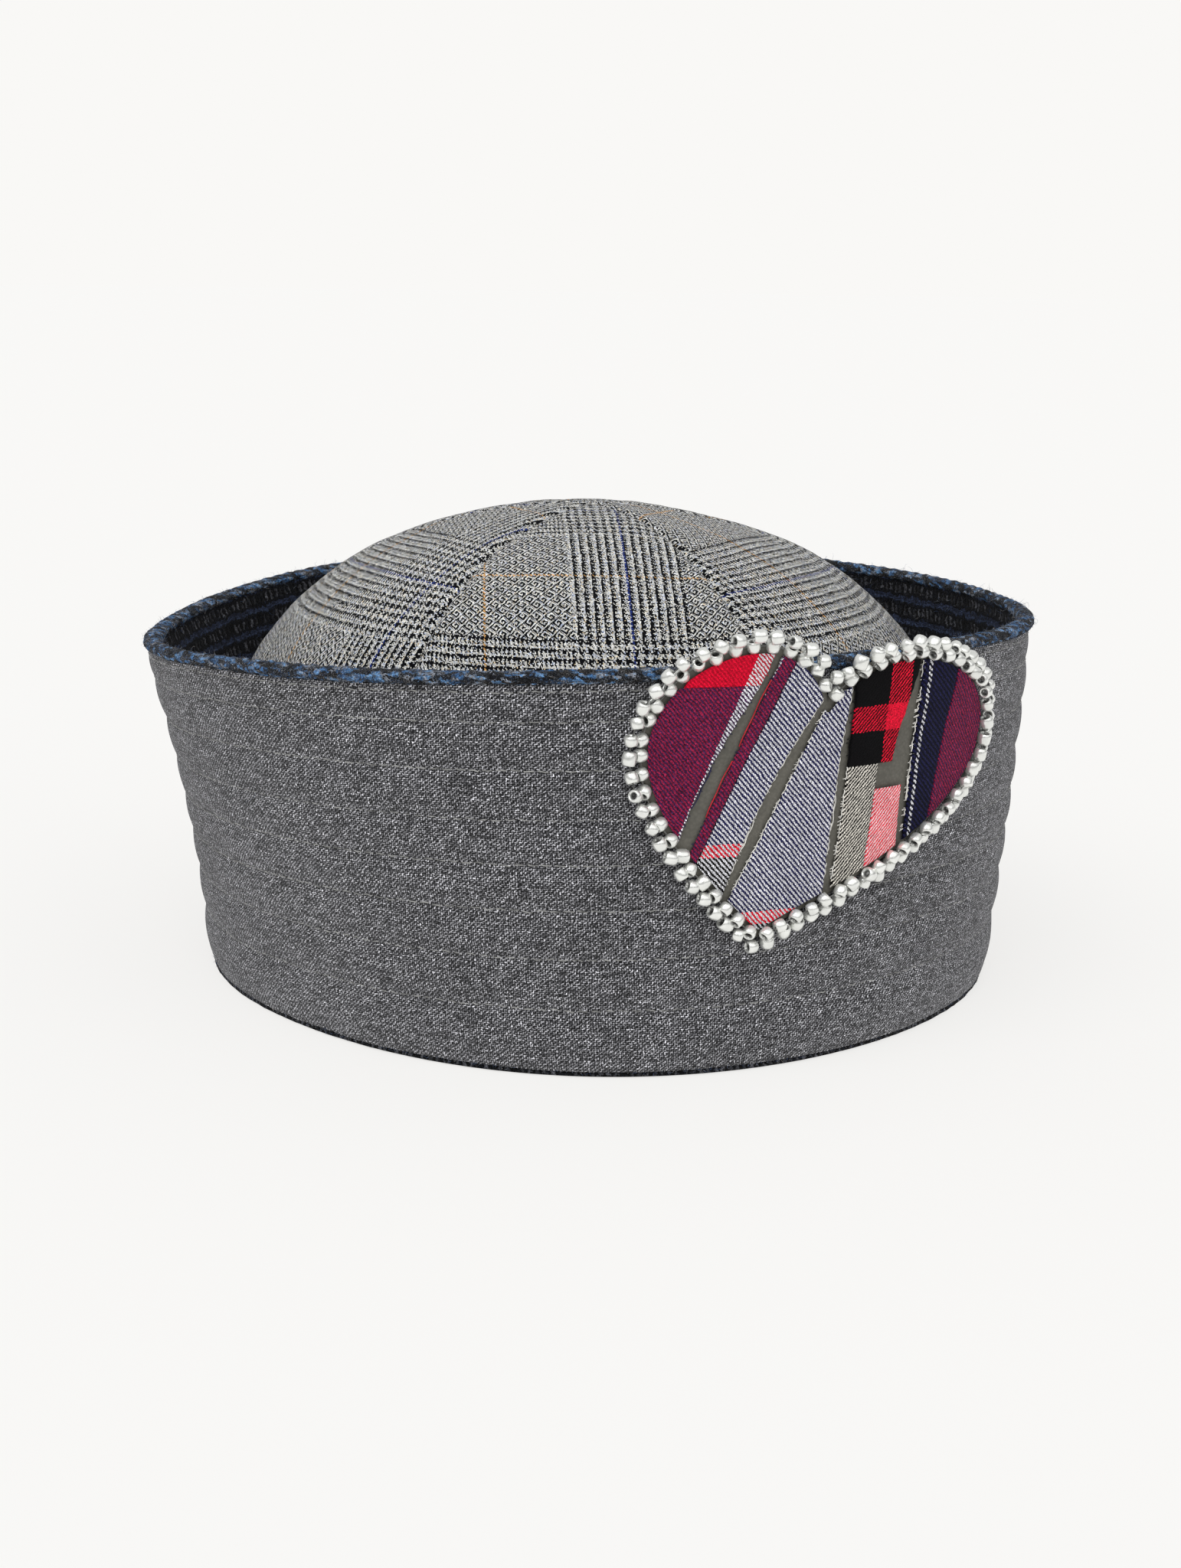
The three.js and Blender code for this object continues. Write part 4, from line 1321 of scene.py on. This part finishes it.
# %% Fray
FRAYS = {  # strip: colour of its tufts, how many to the centimetre on its left and on its right
    "burgundy_left": ("navy", 0, 12), "scarlet": ("red", 0, 5), "wine": ("navy", 8, 0),
    "twill_left": ("white", 0, 13), "twill_right": ("white", 12, 13), "cream": ("white", 10, 3),
    "tartan": ("black", 5, 6), "coral": ("white", 0, 9), "navy": ("white", 12, 0),
    "burgundy_right": ("navy", 0, 0),
}
THREADED = {("twill_left", True), ("twill_right", False), ("twill_right", True),
            ("cream", False), ("navy", False)}  # sides with threads all along them, True for a right side
LONG_THREADS = (  # strip, right side, height of the upper end, length, colour
    ("wine", False, 88, 14, "red"), ("wine", False, 71, 12, "red"), ("twill_right", True, 62, 8, "white"),
    ("twill_left", True, 58, 7, "white"), ("navy", False, 66, 8, "white"),
    ("burgundy_left", True, 70, 9, "navy"),
)
FRAY_COLOURS = (  # name, colour, slot
    ("white", "e4e2dc", "blue_white_twill"), ("red", "c4142c", "burgundy_wool"),
    ("black", "101012", "black_red_tartan"), ("navy", "23244a", "navy_twill"))
frayed = {colour: [] for colour, _, _ in FRAY_COLOURS}
for row in STRIPS:
    colour, *densities = FRAYS[row[0]]
    for right, density in zip((False, True), densities):
        side_at, span = edge_line(row, right)
        if not density or not span:
            continue
        outward = 1 if right else -1
        for _ in range(round((span[1] - span[0]) / 10 * density)):
            frayed[colour].append(tuft(side_at, dice.uniform(span[0] + 1.5, span[1]), outward))
        z = span[1]
        while (row[0], right) in THREADED and z > span[0] + 5:
            length = dice.uniform(1.5, 4.5)
            frayed[colour].append(loose_thread(side_at, z, length, outward, dice.uniform(-0.2, 0.2)))
            z -= length + dice.uniform(0.2, 2.5)
for name, right, z, length, colour in LONG_THREADS:
    row = next(strip_row for strip_row in STRIPS if strip_row[0] == name)
    frayed[colour].append(loose_thread(edge_line(row, right)[0], z, length, 1 if right else -1))
for colour, code, slot in FRAY_COLOURS:
    add_threads(f"fray_{colour}", frayed[colour], FRAY_THREAD, thread_finish(f"fray_{colour}", code), slot)

# %% [markdown]
# ## Seed beads
# A double row of silver beads runs round the heart. A seed bead is a short length of glass tube with its
# edges melted round, so half its outline is spun about its hole. The copies are turned a little at
# random, because sewn beads never line up, and all beads of one row are one piece, as they are on
# one thread.

# %% One bead
BEAD_RADIUS, BEAD_HALF, HOLE_RADIUS = 1.52, 1.3, 0.6
BEAD_OUTLINE = (  # along the hole, distance from its axis
    (-0.55, HOLE_RADIUS), (-1.1, 0.82), (-BEAD_HALF, 1.02), (-1.2, 1.27), (-0.65, 1.48), (0, BEAD_RADIUS),
    (0.65, 1.48), (1.2, 1.27), (BEAD_HALF, 1.02), (1.1, 0.82), (0.55, HOLE_RADIUS),
)
BEAD_STEPS = 12


def bead_mesh():
    form = bmesh.new()
    knots = [form.verts.new((x * MM, r * MM, 0)) for x, r in BEAD_OUTLINE]
    edges = [form.edges.new((knots[k], knots[(k + 1) % len(knots)])) for k in range(len(knots))]
    bmesh.ops.spin(form, geom=knots + edges, cent=(0, 0, 0), axis=(1, 0, 0), angle=2 * math.pi,
                   steps=BEAD_STEPS, use_merge=True)
    bmesh.ops.remove_doubles(form, verts=form.verts, dist=1e-6)
    bmesh.ops.recalc_face_normals(form, faces=form.faces)
    layer = form.loops.layers.uv.new("bolt")
    for face in form.faces:
        face.smooth = True
        for loop in face.loops:
            x, y, z = loop.vert.co / MM
            loop[layer].uv = x, math.hypot(y, z)
    return mesh_of(form, "bead")


bead = bead_mesh()
print("faces of a bead:", len(bead.polygons))

# %% Rows of beads
BEAD_PITCH, END_ROOM = 3.8, 0.5
BEAD_LIFT, LIFT_SWING, HIGH_SIDE = 2.4, 0.8, 3 * math.pi / 4
BEAD_THREAD = 0.3
FARTHEST = 90  # from the heart's centre to a place that is surely outside it


def bead_line(out, start, end, steps=160):
    """The line round the heart at a distance outside it, between two bearings from its centre."""
    def off_centre(bearing, distance):
        return (HEART_CENTRE[0] + distance * math.cos(bearing),
                HEART_CENTRE[1] + distance * math.sin(bearing))

    points = []
    for k in range(steps + 1):
        bearing = mix(start, end, k / steps)
        reach = halve(0, FARTHEST, lambda distance: heart_depth(*off_centre(bearing, distance)) > -out)
        points.append(Vector(off_centre(bearing, reach)))
    return points


def walk_line(points, distance):
    """The place and heading on a line at a distance from its start."""
    for here, there in zip(points, points[1:]):
        step = (there - here).length
        if distance <= step:
            return here.lerp(there, distance / step), (there - here).normalized()
        distance -= step
    return points[-1], (points[-1] - points[-2]).normalized()


def bearing_of(spot):
    return math.atan2(spot[1] - HEART_CENTRE[1], spot[0] - HEART_CENTRE[0])


def bead_row(name, out, swing, start, end, aim, finish):
    """Beads along a line round the heart. aim is how far each is turned from the line, and tipped. By
    the sign of swing, a row lies high at the upper left or at the lower right."""
    line = bead_line(out, start, end)
    length = sum((b - a).length for a, b in zip(line, line[1:]))
    count = int(length / BEAD_PITCH)
    pitch = (length - 2 * END_ROOM) / count
    stagger = 0.5 if swing < 0 else 0.98
    form, thread = bmesh.new(), []
    for k in range(count):
        (s, z), (ds, dz) = walk_line(line, END_ROOM + (k + stagger) * pitch + dice.uniform(-0.3, 0.3))
        s, z = s + dice.uniform(-0.25, 0.25), z + dice.uniform(-0.25, 0.25)
        side = math.cos(bearing_of((s, z)) - HIGH_SIDE)
        height = BEAD_LIFT + swing * side + dice.uniform(-0.2, 0.2)
        middle = heart_point(s, z, height)
        outward = (heart_point(s, z, height + 1) - middle).normalized()
        ahead = (heart_point(s + ds, z + dz, height) - middle).normalized()
        yaw, tip = (dice.gauss(angle, 0.3) for angle in aim)
        hole = Matrix.Rotation(yaw, 3, outward) @ ahead
        hole = Matrix.Rotation(tip, 3, outward.cross(hole)) @ hole
        size = dice.uniform(0.93, 1.06)
        place = Matrix.LocRotScale(middle * MM, hole.to_track_quat("X", "Z"),
                                   (size * dice.uniform(0.88, 1.1), size, size))
        had = len(form.verts)
        form.from_mesh(bead)
        form.verts.ensure_lookup_table()
        bmesh.ops.transform(form, matrix=place, verts=form.verts[had:])
        thread.append(middle)
    add_shape(name, form, finish, "silver_beads", name)
    return thread, 0


# %% Silver, and the four rows
def silver_finish():
    """Silver with painted shade that darkens it into the hole, by the distance from the hole's axis."""
    silver = Finish("silver_beads", roughness=0.24, metallic=0.65, gloss=0.5)
    # painted shade inside the hole
    reach = silver.node("MapRange", Value=silver.lay()[1], **{
        "From Min": HOLE_RADIUS, "From Max": 0.95, "To Min": 0.3, "To Max": 1.0}).outputs[0]
    shade = silver.math("MULTIPLY", reach, silver.cloudy(2, 2, low=0.86, high=1.02))
    colour = silver.scaled(tint("f3f4f0")[:3], shade)
    return silver.done(colour, silver.bump(silver.cloudy(0.9, 2), 0.05, 0.3))


silver = silver_finish()
notch, tip = bearing_of(ANCHORS[0][0]), bearing_of(ANCHORS[2][0])
full_turn = 2 * math.pi
bead_threads = [
    bead_row(f"beads_{row}_{side}", out, swing, start, end, aim, silver)
    for row, side, out, swing, start, end, aim in (
        ("inner", "left", 0.9, -LIFT_SWING, notch, tip + full_turn, (-math.pi / 2, -0.55)),
        ("inner", "right", 0.9, -LIFT_SWING, tip, notch, (0.3, 0.1)),
        ("outer", "left", 3.0, LIFT_SWING, notch, tip + full_turn, (0.3, 0.0)),
        ("outer", "right", 3.0, LIFT_SWING, tip, notch, (1.0, -0.2)),
    )
]
add_threads("bead_thread", bead_threads, BEAD_THREAD, thread_finish("bead_thread", "6d6d6b"), "silver_beads")

# %% [markdown] The dressed hat has to keep the size of the frame, give or take
# the nap of its cloth.
